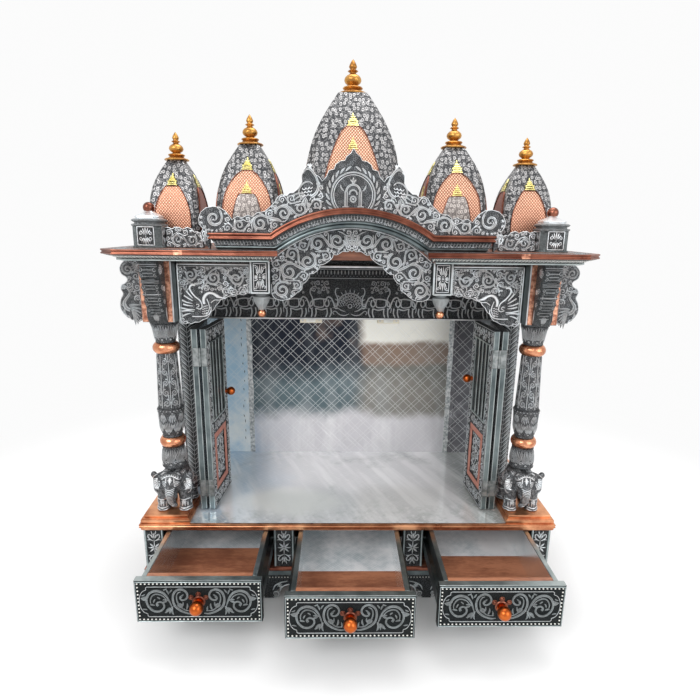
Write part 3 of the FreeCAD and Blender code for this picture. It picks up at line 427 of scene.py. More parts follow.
def engrave(strokes, place, height, sink=0.0004, sides=1, tone=1.0, teal=0.0, groove=0.0):
    # Turns strokes into raised lines on a surface. place takes arrays u, v, w and gives their points.
    # With a groove the wider strokes are hollow and dark along their middle.
    piece = swept([([(u, v, 0.0) for u, v in line], widths) for line, widths in strokes], 2 if groove else sides,
                  twist_mode="Z_UP")
    mesh = piece.data
    depth = readPoints(mesh)[:, 2]
    normals = np.empty(len(depth) * 3, np.float32)
    mesh.vertex_normals.foreach_get("vector", normals)
    rise = np.clip(normals.reshape(-1, 3)[:, 2], -1, 1)
    full = np.clip(depth / (depth.max() or 1.0), 0, 1) ** 0.5
    hollow = (depth > 0.0010) & (rise > 0.85) & (groove > 0)
    w = np.where(depth > 0, height * full * np.where(hollow, 1 - groove, 1), -sink)
    movePoints(piece, lambda points: place(points[:, 0], points[:, 1], w))
    # Painted shade: each stroke is silver on its crest and darker down its flanks.
    lit = np.clip(0.10 + (1.4 if groove else 1.05) * rise, 0.05, 1) * tone
    tint(piece, np.where(hollow, 0.6 - groove, lit), teal)
    if np.linalg.det(frameOf(place)) < 0:
        mesh.flip_normals()
    return smooth(piece, 80)


def frameOf(place):
    # The three directions in which a place function runs, to tell whether it mirrors.
    step = 0.001
    base = np.asarray(place(np.array([0.0]), np.array([0.0]), np.array([0.0])))[0]
    return np.array([(np.asarray(place(*[np.array([step if i == k else 0.0]) for i in range(3)]))[0] - base) / step
                     for k in range(3)])


def onFront(y, facing=-1):
    # u is X and v is Z on an upright face at y; facing -1 looks to the front.
    return lambda u, v, w: np.stack([u, y + facing * w, v], 1)


def onSide(x, facing):
    # u is Y and v is Z on an upright face at x.
    return lambda u, v, w: np.stack([x + facing * w, u, v], 1)


def around(x, y, turn, reach=None):
    # u runs round an upright axis from the front, at the radius turn; reach gives the radius at a height and angle.
    def place(u, v, w):
        angle = u / turn
        out = (reach(v, angle) if reach else turn) + w
        return np.stack([x + out * np.sin(angle), y - out * np.cos(angle), v], 1)
    return place


def squareFace(x, y, reach, quarter):
    # One of the four sides of an upright square; quarter 0 faces the front, and reach gives its distance at a height.
    c, s = round(math.cos(quarter * math.pi / 2)), round(math.sin(quarter * math.pi / 2))

    def place(u, v, w):
        out = -(reach(v) + w)
        return np.stack([x + c * u - s * out, y + s * u + c * out, v], 1)
    return place


# Finishes

class Wire:
    # A socket of a node tree, with operators that add the nodes they need.
    def __init__(self, tree, socket=None):
        self.tree, self.socket = tree, socket

    def make(self, kind, settings=None, take=0, **values):
        node = self.tree.nodes.new("ShaderNode" + kind)
        for key, value in (settings or {}).items():
            setattr(node, key, value)
        for key, value in values.items():
            name = key.replace("_", " ")
            place = node.inputs[int(name[1:])] if name[0] == "i" and name[1:].isdigit() else node.inputs[name]
            if isinstance(value, Wire):
                self.tree.links.new(value.socket, place)
            else:
                place.default_value = (*value, 1.0) if place.type == "RGBA" else value
        return Wire(self.tree, node.outputs[take])

    def maths(self, operation, other=None):
        return self.make("Math", {"operation": operation}, i0=self, **({} if other is None else {"i1": other}))

    def __add__(self, other):
        return self.maths("ADD", other)

    __radd__ = __add__

    def __mul__(self, other):
        return self.maths("MULTIPLY", other)

    __rmul__ = __mul__

    def __sub__(self, other):
        return self.maths("SUBTRACT", other)

    def __rsub__(self, other):
        return self.make("Math", {"operation": "SUBTRACT"}, i0=other, i1=self)

    def __truediv__(self, other):
        return self.maths("DIVIDE", other)

    def __gt__(self, other):
        return self.maths("GREATER_THAN", other)

    def step(self, low, high):
        return self.make("MapRange", {"interpolation_type": "SMOOTHSTEP"}, Value=self, From_Min=low, From_Max=high)

    def mix(self, first, second):
        return self.make("Mix", {"data_type": "RGBA"}, take=2, i0=self, i6=first, i7=second)

    def xyz(self):
        return [Wire(self.tree, part) for part in self.make("SeparateXYZ", Vector=self).socket.node.outputs]


def finish(name, build, **shader):
    # A finish: build gets the object coordinates, and returns what goes into the shader.
    material = bpy.data.materials.new(name)
    material.use_nodes = True
    tree = material.node_tree
    principled = tree.nodes["Principled BSDF"]
    for key, value in shader.items():
        principled.inputs[key.replace("_", " ")].default_value = value
    place = Wire(tree).make("TexCoord", take=3)
    links = build(place)
    if "Height" in links:
        links["Normal"] = place.make("Bump", **{key: links.pop(key) for key in ("Strength", "Distance", "Height")})
    for key, value in links.items():
        if isinstance(value, Wire):
            tree.links.new(value.socket, principled.inputs[key])
        else:
            principled.inputs[key].default_value = value
    return material


def noise(place, scale, detail=3.0, rough=0.55, stretch=None):
    if stretch:
        place = place.make("Mapping", Vector=place, Scale=stretch)
    return place.make("TexNoise", Vector=place, Scale=scale, Detail=detail, Roughness=rough)


def facePlane(place):
    # Coordinates in the plane that a face lies in, so that a flat pattern doesn't smear on side faces.
    nx, ny, nz = [part.maths("ABSOLUTE") for part in place.make("TexCoord", take=1).xyz()]
    x, y, z = place.xyz()
    sideways, lying = nx > ny, nz > 0.75
    u = x * (1 - sideways) + y * sideways
    v = z * (1 - lying) + y * lying
    return u * (1 - lying) + x * lying, v


def blossoms(u, v, pitch, petals, loose, curls):
    # Pressed blossoms in a loose grid: a height between 0 and 1.
    flat = u.make("CombineXYZ", X=u, Y=v)
    cells = u.make("TexVoronoi", {"voronoi_dimensions": "2D"}, take=2, Vector=flat, Scale=1 / pitch, Randomness=loose)
    near = Wire(cells.tree, cells.socket.node.outputs[0])
    du, dv = u.make("VectorMath", {"operation": "SUBTRACT"}, i0=flat, i1=cells).xyz()[:2]
    angle = dv.maths("ARCTAN2", du)
    lobes = (angle * petals).maths("COSINE") * 0.11 + 0.3
    flower = (lobes - near).step(-0.03, 0.05)
    heart = (0.13 - near).step(-0.02, 0.03)
    vein = (near * curls + angle * 2.0).maths("SINE") * 0.5 + 0.5
    return flower * (1 - heart * 0.85) + (1 - flower) * vein.step(0.55, 0.8) * 0.75


def oxidised(name, pitch, busy, silver, ground, petals=6.0, loose=0.9, curls=62.0):
    # Blackened white metal: dark ground with a pressed pattern, silver on raised work, teal-grey on smooth borders.
    def build(place):
        tone = place.make("Attribute", {"attribute_name": "tone"}, take=2)
        teal = place.make("Attribute", {"attribute_name": "teal"}, take=2)
        u, v = facePlane(place)
        pattern = blossoms(u, v, pitch, petals, loose, curls)
        patchyTone = noise(place, 55.0, 4.0)
        fine = noise(place, 420.0, 2.0)
        relief = pattern * busy * (0.55 + 0.9 * patchyTone)
        # Painted light: the silver's brightness rises and falls with this patchy noise, as uneven light on the
        # embossing.
        bright = (tone * (0.50 + 0.75 * patchyTone) + (1 - tone) * relief).maths("MINIMUM", 1.0)
        cool = patchyTone.step(0.35, 0.65).mix(silver, (silver[0] * 0.92, silver[1] * 0.97, silver[2]))
        colour = bright.mix(ground, cool)
        smoothTeal = patchyTone.step(0.3, 0.75).mix((0.17, 0.22, 0.225), (0.33, 0.39, 0.39))
        colour = teal.mix(colour, smoothTeal)
        rough = 0.5 - bright * 0.16 - teal * 0.1 + fine * 0.08
        height = pattern * (1 - tone) * (1 - teal) + fine * 0.12
        return {"Base Color": colour, "Roughness": rough, "Height": height, "Distance": 0.0012, "Strength": 0.7}
    return finish(name, build, Metallic=0.82)


def eyedSheet(name, pitch, ground, silver):
    # Grey sheet pressed with rows of small ringed eyes.
    def build(place):
        u, v = facePlane(place)
        flat = place.make("CombineXYZ", X=u, Y=v * 0.8)
        cells = place.make("TexVoronoi", {"voronoi_dimensions": "2D"}, Vector=flat, Scale=1 / pitch, Randomness=0.6)
        rim = (0.075 - (cells - 0.25).maths("ABSOLUTE")).step(-0.02, 0.03)
        heart = (0.07 - cells).step(-0.02, 0.02)
        eyes = rim.maths("MAXIMUM", heart)
        speck = noise(place, 330.0, 3.0)
        patchyTone = noise(place, 40.0, 3.0)
        bright = (eyes + speck.step(0.46, 0.60) * 0.38) * (0.35 + patchyTone * 1.2)
        colour = bright.maths("MINIMUM", 1.0).mix(ground, silver)
        return {"Base Color": colour, "Roughness": 0.42 + speck * 0.1, "Height": eyes + speck * 0.3,
                "Distance": 0.0009, "Strength": 0.6}
    return finish(name, build, Metallic=0.75)


def metal(name, low, high, roughness, scale=30.0, bump=0.0003, wear=0.12, metallic=1.0, facets=0.0):
    def build(place):
        patches = noise(place, scale, 4.0)
        fine = noise(place, scale * 11, 2.0)
        colour = patches.step(0.3, 0.7).mix(low, high)
        height = fine
        if facets:
            hammered = place.make("TexVoronoi", {"feature": "SMOOTH_F1"}, Vector=place, Scale=facets)
            height = fine * 0.15 + hammered
        return {"Base Color": colour, "Roughness": roughness - wear / 2 + patches * wear, "Height": height,
                "Distance": bump, "Strength": 0.6}
    return finish(name, build, Metallic=metallic)


def latticeLines(u, v, pitch):
    # Double diagonal lines, as a number between 0 and 1.
    gap, thin, edge = 0.150, 0.020, 0.014
    lines = None
    for way in (1.0, -1.0):
        across = (u + v * way) / (pitch * 1.4142)
        saw = (across - across.maths("FLOOR") - 0.5).maths("ABSOLUTE")
        pair = (thin - (saw - gap).maths("ABSOLUTE")).step(-edge, edge)
        lines = pair if lines is None else lines.maths("MAXIMUM", pair)
    return lines


def backMirror(name, pitch):
    # Bright sheet pressed with a lattice, coloured with a painted reflection: dark where it mirrors the room, pale
    # where it mirrors the deck.
    def build(place):
        x, y, z = place.xyz()
        warp = noise(place, 9.0, 4.0, 0.6)
        blotch = noise(place, 5.0, 4.0, 0.62)
        grain = noise(place, 240.0, 3.0)
        streaks = noise(place, 14.0, 4.0, 0.6, (1.0, 1.0, 0.22))
        high = (z + warp * 0.09).step(0.335, 0.385)
        higher = (z + warp * 0.12).step(0.45, 0.53)
        right = (x + warp * 0.10 - z * 0.25).step(-0.05, 0.02)
        side = (x + warp * 0.05).step(0.045, 0.075)
        cream = side * (z + blotch * 0.06).step(0.54, 0.56)
        band = side * (z + blotch * 0.06).step(0.475, 0.50) * (1.15 - warp)
        bluish = (x + warp * 0.25).step(-0.06, -0.20)
        middleTone = right.mix((0.12, 0.17, 0.19), (0.27, 0.26, 0.235))
        topTone = right.mix((0.004, 0.008, 0.020), (0.17, 0.17, 0.15))
        # Brownish blotches, a brown band and a cream patch over the painted reflection's dark top.
        upperTop = (blotch.step(0.54, 0.66) * 0.6).mix(topTone, (0.20, 0.14, 0.115))
        upperTop = band.mix(upperTop, (0.33, 0.21, 0.15))
        upperTop = cream.mix((streaks.step(0.4, 0.7) * 0.16).mix(upperTop, (0.40, 0.43, 0.44)), (0.92, 0.91, 0.84))
        upper = higher.mix((streaks.step(0.4, 0.7) * 0.35).mix(middleTone, (0.40, 0.43, 0.44)), upperTop)
        pale = (bluish * 0.8).mix((0.70, 0.69, 0.72), (0.46, 0.62, 0.80))
        pale = (streaks.step(0.42, 0.68) * 0.5).mix(pale, (0.92, 0.92, 0.93))
        base = high.mix(pale, upper)
        lines = latticeLines(x, z, pitch)
        seen = lines * (0.26 + grain * 0.46) * (high * 0.5 + 0.5)
        return {"Base Color": seen.mix(base, (0.93, 0.95, 0.95)), "Roughness": 0.27 + grain * 0.12, "Height": lines,
                "Distance": 0.0006, "Strength": 0.4}
    return finish(name, build, Metallic=0.6)


def deckSheet(name, pitch):
    # Bright deck sheet: bluish on the left, greener and darker on the right, with faint slanting streaks.
    def build(place):
        x, y, z = place.xyz()
        clouds = noise(place, 5.0, 5.0, 0.62)
        speck = noise(place, 46.0, 5.0, 0.7)
        turned = place.make("Mapping", Vector=place, Rotation=(0, 0, -0.42))
        slant = noise(turned, 15.0, 4.0, 0.6, (1.0, 0.10, 1.0))
        grain = noise(place, 260.0, 3.0)
        left = (x + clouds * 0.2).step(-0.02, -0.24)
        right = (x + clouds * 0.12).step(0.27, 0.36)
        front = (y + clouds * 0.12).step(0.05, -0.03)
        base = (left * 0.85).mix((0.80, 0.80, 0.81), (0.52, 0.66, 0.80))
        base = (right * 0.8).mix(base, (0.36, 0.39, 0.37))
        base = (front * left * 0.9).mix(base, (0.20, 0.27, 0.29))
        base = (slant.step(0.45, 0.60) * 0.75).mix(base, (1.0, 1.0, 1.0))
        base = (clouds.step(0.52, 0.68) * 0.6).mix(base, (0.40, 0.43, 0.42))
        near = (y + clouds * 0.1).step(0.10, 0.0)
        base = (near * speck.step(0.52, 0.60) * 0.4).mix(base, (0.50, 0.54, 0.52))
        # Painted reflection: a pale spot to the left of the middle.
        reflectedSpot = (x + 0.14) * (x + 0.14) * 16.0 + (y - 0.015) * (y - 0.015) * 60.0 + clouds * 0.5
        base = (reflectedSpot.step(0.62, 0.28) * 0.85).mix(base, (1.0, 1.0, 0.96))
        base = (speck.step(0.56, 0.70) * 0.35 + near * speck.step(0.46, 0.36) * 0.7).mix(base, (1.0, 1.0, 1.0))
        lines = latticeLines(x, y, pitch)
        return {"Base Color": (lines * 0.28).mix(base, (0.97, 0.97, 0.97)), "Roughness": 0.09 + grain * 0.1,
                "Height": lines * 0.5 + speck * 0.4, "Distance": 0.0003, "Strength": 0.3}
    return finish(name, build, Metallic=0.38)


def paleMirror(name, low, high, lined, pitch=0.0275, metallic=0.9):
    # Bright sheet with clouds and a faint lattice.
    def build(place):
        u, v = facePlane(place)
        clouds = noise(place, 4.5, 4.0, 0.6)
        speck = noise(place, 34.0, 5.0, 0.7)
        grain = noise(place, 260.0, 3.0)
        lines = latticeLines(u, v, pitch) * (0.35 + grain * 0.8)
        base = (clouds * 0.7 + speck * 0.3).step(0.38, 0.62).mix(low, high)
        return {"Base Color": (lines * lined * 1.6).mix(base, (0.95, 0.96, 0.96)), "Roughness": 0.17 + grain * 0.1,
                "Height": lines * lined + speck * 0.3, "Distance": 0.0005, "Strength": 0.35}
    return finish(name, build, Metallic=metallic)


def timber(name, low, high, along=(1.0, 9.0, 9.0), roughness=0.5):
    def build(place):
        grain = noise(place, 9.0, 6.0, 0.62, along)
        pores = noise(place, 60.0, 3.0, 0.6, along)
        colour = (grain * 0.7 + pores * 0.3).step(0.38, 0.62).mix(low, high)
        return {"Base Color": colour, "Roughness": roughness - 0.1 + pores * 0.2, "Height": pores,
                "Distance": 0.0003, "Strength": 0.35}
    return finish(name, build, Metallic=0.0)


def coppermesh(name, deep, low, glow):
    # Copper sheet pressed with a fine slanting net, paler towards its top: a painted highlight.
    def build(place):
        u, v = facePlane(place)
        net = None
        for way in (1.0, -1.0):
            wave = ((u * 1.15 + v * way) * 930.0).maths("SINE") * 0.5 + 0.5
            net = wave if net is None else net * wave
        patches = noise(place, 34.0, 4.0)
        fine = noise(place, 500.0, 2.0)
        base = patches.step(0.3, 0.7).mix([c * 0.75 for c in deep], deep)
        up = place.xyz()[2]
        lit = (up + patches * 0.06).step(0.80, 0.98).mix(low, glow)
        colour = (net.step(0.08, 0.42) * 0.85 + fine * 0.2).mix(base, lit)
        return {"Base Color": colour, "Roughness": 0.36 + fine * 0.16, "Height": net, "Distance": 0.0006,
                "Strength": 0.8}
    return finish(name, build, Metallic=0.75)


sheetPitch = 0.0320
relief = oxidised("oxidised relief", 0.0042, 0.12, (0.96, 0.96, 0.965), (0.011, 0.014, 0.016))
ebony = oxidised("dark ground", 0.0042, 0.03, (0.60, 0.62, 0.62), (0.010, 0.013, 0.014))
carved = oxidised("carved ground", 0.0105, 0.26, (0.56, 0.56, 0.57), (0.012, 0.014, 0.016), 5.0, 0.9, 24.0)
beastSheet = oxidised("carved elephant", 0.0072, 0.42, (0.66, 0.66, 0.67), (0.009, 0.011, 0.013), 5.0, 0.9, 24.0)
embossed = oxidised("embossed sheet", 0.0085, 0.80, (0.66, 0.67, 0.68), (0.014, 0.017, 0.019), 5.0, 0.6, 26.0)
sheetPressed = oxidised("pressed sheet", 0.0058, 0.7, (0.50, 0.51, 0.525), (0.025, 0.029, 0.032))
domeSheet = eyedSheet("dome sheet", 0.0090, (0.042, 0.044, 0.048), (0.53, 0.52, 0.52))
shrineSheet = eyedSheet("small shrine sheet", 0.0085, (0.20, 0.175, 0.165), (0.74, 0.67, 0.63))
tealMetal = metal("teal grey border", (0.085, 0.105, 0.11), (0.19, 0.225, 0.23), 0.36, 24.0)
rimMetal = metal("teal grey rim", (0.30, 0.35, 0.35), (0.52, 0.57, 0.56), 0.34, 30.0)
copperSheet = metal("copper moulding", (0.13, 0.042, 0.028), (0.30, 0.115, 0.075), 0.32, 22.0, 0.0004, 0.16)
copperOrange = metal("orange copper moulding", (0.42, 0.15, 0.07), (0.78, 0.38, 0.20), 0.30, 30.0, 0.0005, 0.16, 0.9)
copperBright = metal("bright copper", (0.50, 0.19, 0.10), (0.78, 0.37, 0.21), 0.26, 60.0, 0.0006, 0.1, 1.0, 260.0)
copperHammered = metal("hammered copper", (0.30, 0.11, 0.07), (0.80, 0.42, 0.28), 0.34, 150.0, 0.0009, 0.14, 0.85,
                       230.0)
copperPink = metal("pink copper frame", (0.46, 0.17, 0.12), (0.60, 0.26, 0.19), 0.5, 30.0, 0.0002, 0.1, 0.5)

copperRed = metal("red copper", (0.38, 0.075, 0.016), (0.56, 0.135, 0.03), 0.3, 40.0, 0.0002, 0.08)
golden = metal("golden finial", (0.36, 0.155, 0.035), (0.62, 0.33, 0.085), 0.36, 55.0, 0.0001, 0.12, 0.9)
paleGold = metal("pale gold motif", (0.72, 0.62, 0.22), (0.86, 0.78, 0.36), 0.34, 60.0, 0.0003, 0.12)
netCopper = coppermesh("copper mesh", (0.34, 0.12, 0.065), (0.86, 0.45, 0.32), (0.90, 0.60, 0.43))
# A darker copy of the copper mesh, painted in shade, for the dome faces that look sideways.
netShaded = coppermesh("shaded copper mesh", (0.20, 0.055, 0.035), (0.34, 0.12, 0.08), (0.36, 0.14, 0.09))
hingeSteel = metal("hinge steel", (0.17, 0.19, 0.19), (0.38, 0.40, 0.40), 0.36, 90.0)
mirror = backMirror("lattice back sheet", sheetPitch)
mirrorFloor = paleMirror("bright floor sheet", (0.48, 0.56, 0.60), (0.90, 0.92, 0.94), 0.45, 0.0165, 0.15)
mirrorSides = paleMirror("bright drawer sides", (0.80, 0.86, 0.88), (0.97, 0.98, 0.98), 0.2, 0.0165, 0.95)
deckMirror = deckSheet("bright deck sheet", sheetPitch)
# Painted reflection: the left side panel is coloured bright bluish for the room it mirrors.
panelMirror = paleMirror("bluish side panel", (0.48, 0.70, 0.88), (0.95, 1.0, 1.0), 0.35, sheetPitch, 0.25)
panelShade = paleMirror("greyish side panel", (0.17, 0.165, 0.18), (0.46, 0.46, 0.48), 0.45, sheetPitch, 0.35)
wallMirror = paleMirror("side wall sheet", (0.34, 0.40, 0.43), (0.60, 0.66, 0.68), 0.35, 0.0275, 0.5)
seamTin = metal("rough tin seam", (0.30, 0.33, 0.34), (0.78, 0.78, 0.77), 0.42, 160.0, 0.0012)
blackened = metal("blackened nails", (0.012, 0.016, 0.02), (0.03, 0.035, 0.04), 0.45, 60.0)
wood = timber("reddish brown board", (0.13, 0.045, 0.025), (0.26, 0.10, 0.055))
drawerFloor = timber("brown drawer floor", (0.24, 0.09, 0.05), (0.44, 0.185, 0.10), (1.0, 3.0, 3.0), 0.32)
steel = metal("plated steel", (0.42, 0.43, 0.44), (0.62, 0.62, 0.62), 0.32, 50.0)
pearl = metal("pearl bead", (0.66, 0.66, 0.62), (0.80, 0.80, 0.76), 0.35, 90.0, 0.0001, 0.1, 0.0)
cream = metal("cream plastic", (0.66, 0.60, 0.46), (0.74, 0.69, 0.56), 0.45, 60.0, 0.0002, 0.1, 0.0)
print("finishes made:", len(bpy.data.materials))


def dress(piece, material):
    piece.data.materials.clear()
    piece.data.materials.append(material)


def fit(name, parts, material=relief, slot="oxidised_sheet", body="mandir", stands="", tone=None, teal=0.0):
    # Joins parts into one piece and gives it its finish and body; slot is not used; stands is the frame node it stands
    # for.
    piece = joinAll(name, parts)
    if tone is not None:
        tint(piece, tone, teal)
    dress(piece, material)
    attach(piece, body)
    if stands:
        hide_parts(stands)


def carve(name, strokes, place, height, material=relief, slot="oxidised_sheet", body="mandir", **look):
    fit(name, [engrave(strokes, place, height, **look)], material, slot, body)


# Frame nodes that keep their shape and get a finish

keepShape = {
    relief: ["plinth_front", "plinth_boards", "front_stiles", "rosette_blocks", "lintel", "feather_columns",
             "door_outer_left", "door_inner_left", "door_outer_right", "door_inner_right"],
    embossed: ["jamb_boards", "chajja", "hood"],
    ebony: ["drawer_front_left", "drawer_front_middle", "drawer_front_right"],
    tealMetal: ["porch_posts", "drawer_box_left", "drawer_box_middle", "drawer_box_right", "cabinet_sides",
                "side_walls"],
    copperSheet: ["deck_copper_edge", "base_copper_strip", "chajja_copper_edge", "hood_copper_edge",
                  "pillar_blocks"],
    copperBright: ["pillar_rings"],
    mirror: ["back_sheet"],
    deckMirror: ["deck_sheet"],
    wood: ["deck", "roof_board", "back_wall", "cabinet_bottom", "cabinet_back", "drawer_dividers"],
    steel: ["cabinet_rails"],
    hingeSteel: ["jamb_hinges", "door_outer_hinges_left", "door_inner_hinges_left", "door_outer_hinges_right",
                 "door_inner_hinges_right"],
    cream: ["magnetic_catches"],
    sheetPressed: ["pillars", "elephants", "front_corbels", "side_brackets", "spandrels", "pendants", "arch_panel",
                   "crest", "side_crests", "roof_posts", "domes"],
    golden: ["kalashes"],
    copperRed: ["drawer_knob_left", "drawer_knob_middle", "drawer_knob_right", "door_knob_left", "door_knob_right"],
}
for material, names in keepShape.items():
    for name in names:
        dress(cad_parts[name], material)
print("frame nodes dressed")


# Roof

def mirrored(points):
    # A symmetric outline from its right half, given from the top of the middle line to its bottom.
    left = [(-x, z) for x, z in reversed(points) if x > 0.00001]
    return points + left


def sweep(stations, profile):
    # A profile of (out, lift) points run through stations of (point, out, lift), which gives mitred corners.
    rings = []
    for station in stations:
        point, out, lift = [Vector(part) for part in station]
        rings.append([point + out * u + lift * v for u, v in profile])
    return smooth(loft(rings), 28)


def alongStations(stations, depth):
    # u runs along the stations, v along lift and w outwards; depth gives how far out the surface lies.
    points, outs, lifts = [np.array([list(station[k]) for station in stations]) for k in range(3)]
    runs = np.concatenate([[0], np.cumsum(np.linalg.norm(np.diff(points, axis=0), axis=1))])

    def place(u, v, w):
        mixed = [np.stack([np.interp(u, runs, table[:, k]) for k in range(3)], 1) for table in (points, outs, lifts)]
        return mixed[0] + mixed[1] * (depth(v) + w)[:, None] + mixed[2] * v[:, None]
    place.length = runs[-1]
    return place


def leafRow(length, bottom, height, pitch, weight):
    # A row of small upright leaves with dots between them.
    strokes = []
    count = int(length / pitch)
    for index in range(count):
        u = (index + 0.5) * length / count
        strokes += leaf(u, bottom, upward, height, weight, 0.0, 3)
        strokes += dot(u + pitch / 2, bottom + height * 0.7, weight * 0.7)
    return strokes


# Domes: four curved faces with cut corners, petals of copper mesh and small golden shrines

domes = {"levels": [0, 0.1, 0.2, 0.3, 0.4, 0.55, 0.68, 0.8, 0.9, 1.0],
         "widths": [0.975, 0.992, 1.0, 0.998, 0.985, 0.925, 0.825, 0.67, 0.5, 0.31], "corner": 0.16, "base": 0.006,
         "middleY": (0.0855, 0.0585, 0.0585), "places": (0.0, 0.212, 0.366), "half": (0.098, 0.064, 0.051),
         "rise": (0.305, 0.2, 0.168)}
domePetals = (
    {"outer": [(0, 0.50), (0.3, 0.60), (0.45, 0.55), (0.58, 0.43), (0.68, 0.31), (0.745, 0.20), (0.765, 0.12)],
     "inner": [(0, 0.40), (0.25, 0.42), (0.42, 0.32), (0.52, 0.18)], "shrines": [(0.765, 0.027), (0.615, 0.023)]},
    {"outer": [(0, 0.66), (0.24, 0.74), (0.35, 0.77), (0.5, 0.68), (0.62, 0.49), (0.70, 0.28), (0.73, 0.14)],
     "inner": [(0, 0.52), (0.2, 0.50), (0.35, 0.42), (0.46, 0.32), (0.5, 0.24)],
     "shrines": [(0.735, 0.026), (0.505, 0.024)]},
    {"outer": [(0, 0.66), (0.25, 0.72), (0.4, 0.68), (0.52, 0.56), (0.63, 0.38), (0.68, 0.25)], "inner": None,
     "shrines": [(0.69, 0.025)]})


def smoothTable(xs, ys, x):
    # A smooth line through a table, evaluated at x.
    line = rounded(list(zip(xs, ys)), 8)
    return np.interp(x, [p[0] for p in line], [p[1] for p in line])


def domeReach(half, rise, bottom):
    def reach(z):
        return half * smoothTable(domes["levels"], domes["widths"], np.clip((np.asarray(z) - bottom) / rise, 0, 1))
    return reach


def petalSide(table, span, count):
    # A petal's half-width and height at even steps; span is its dome's half-width and rise, and its own bottom.
    half, rise, bottom = span
    shares, reaches = zip(*table)
    return [(float(smoothTable(shares, reaches, share)) * half, bottom + share * rise)
            for share in np.linspace(shares[0], shares[-1], count)]


def petal(table, span, place, thickness):
    ws = np.array([thickness] * 9 + [-0.0006] * 2)
    ws[0] = ws[8] = thickness * 0.6
    rings = []
    for reach, z in petalSide(table, span, 26):
        us = np.array([reach * t for t in np.linspace(-1, 1, 9)] + [reach, -reach])
        rings.append(place(us, np.full(11, z), ws))
    return smooth(loft(rings), 40)


def petalEdge(table, span):
    line = petalSide(table, span, 24)
    return traced(line + [(-u, v) for u, v in reversed(line)], 0.0009)


def smallShrine(bottom, size):
    # A stack of steps under a rounded top and a tip.
    strokes = []
    for low, reach, weight in ((0.06, 0.42, 0.06), (0.2, 0.34, 0.07), (0.36, 0.38, 0.06), (0.5, 0.24, 0.08),
                               (0.66, 0.16, 0.09)):
        strokes += traced([(-reach * size, bottom + low * size), (0, bottom + (low + 0.03) * size),
                           (reach * size, bottom + low * size)], weight * size)
    strokes += leaf(0, bottom + 0.62 * size, upward, 0.42 * size, 0.09 * size, 0, 4)
    for side in (-1, 1):
        strokes += leaf(side * 0.3 * size, bottom + 0.1 * size, upward - side * 0.3, 0.42 * size, 0.06 * size,
                        side * 0.9, 4)
    return strokes


domeFoot = roofTop + domes["base"]
domeSpots = [(kind, x) for kind, across in enumerate(domes["places"])
             for x in ((-across, across) if across else (0.0,))]
shells, coppers, shadedSideCoppers, silvers, shrines, edges = [], [], [], [], [], []
for kind, x in domeSpots:
    y, half, rise = [domes[key][kind] for key in ("middleY", "half", "rise")]
    reach, marks, span = domeReach(half, rise, domeFoot), domePetals[kind], (half, rise, domeFoot + 0.001)
    shells.append(smooth(loft([cutSquare(x, y, z, float(reach(z)), 1 - domes["corner"])
                               for z in np.linspace(domeFoot, domeFoot + rise, 26)]), 28))
    foot = half * domes["widths"][0] + 0.0028
    shells.append(cleanBox((x - foot, y - foot, roofTop), (x + foot, y + foot, domeFoot), 0.0012))
    for quarter in range(4):
        face = squareFace(x, y, reach, quarter)
        # Faces that look sideways get the darker copy: painted shade.
        (shadedSideCoppers if quarter % 2 else coppers).append(petal(marks["outer"], span, face, 0.0016))
        rims = petalEdge(marks["outer"], span)
        if marks["inner"]:
            silvers.append(petal(marks["inner"], span, face, 0.0026))
            rims += petalEdge(marks["inner"], span)
        edges.append(engrave(rims, lambda u, v, w: face(u, v, w + 0.0012), 0.0018))
        for share, size in marks["shrines"]:
            shrines.append(engrave(smallShrine(domeFoot + share * rise, size),
                                   lambda u, v, w: face(u, v, w + 0.0014), 0.0022))
fit("dome_shells", shells, domeSheet, stands="domes", tone=0.0)
fit("dome_copper_petals", coppers, netCopper, "copper_sheet")
fit("dome_side_petals", shadedSideCoppers, netShaded, "copper_sheet")
fit("dome_inner_petals", silvers, shrineSheet, tone=0.06)
fit("dome_petal_rims", edges, copperSheet)
fit("dome_small_shrines", shrines, paleGold, "golden")
print("domes made")

# Finials on the domes

finial = {"heights": (0.070, 0.061, 0.057), "profile": [
    (0.0, 0.0), (0.30, 0.0), (0.43, 0.015), (0.44, 0.045), (0.40, 0.075), (0.31, 0.10), (0.26, 0.135), (0.245, 0.16),
    (0.28, 0.175), (0.30, 0.20), (0.28, 0.228), (0.22, 0.245), (0.15, 0.262), (0.13, 0.285), (0.17, 0.305),
    (0.225, 0.345), (0.25, 0.395), (0.255, 0.43), (0.235, 0.49), (0.19, 0.54), (0.13, 0.575), (0.095, 0.60),
    (0.09, 0.63), (0.13, 0.648), (0.155, 0.668), (0.13, 0.69), (0.09, 0.705), (0.085, 0.73), (0.115, 0.765),
    (0.118, 0.80), (0.09, 0.87), (0.045, 0.945), (0.0, 1.0)]}
finials = []
for kind, x in domeSpots:
    height, bottom = finial["heights"][kind], domeFoot + domes["rise"][kind]
    finials.append(lathe([(r * height, bottom + z * height) for r, z in finial["profile"]], x,
                         domes["middleY"][kind], 40, 50))
fit("dome_finials", finials, golden, "golden", stands="kalashes")
print("finials made")

# Upper cornice: copper edge, cove with a leaf row and two beads, straight at the ends and arched between

hoodLow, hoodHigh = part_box("hood_copper_edge")
cornice = {"centreZ": 0.594173, "radius": 0.272827, "line": 0.818, "steps": 26}


def arcPoint(angle, inset=0.0):
    # A point in X and Z on the cornice's arch.
    radius = cornice["radius"] - inset
    return radius * math.sin(angle), cornice["centreZ"] + radius * math.cos(angle)


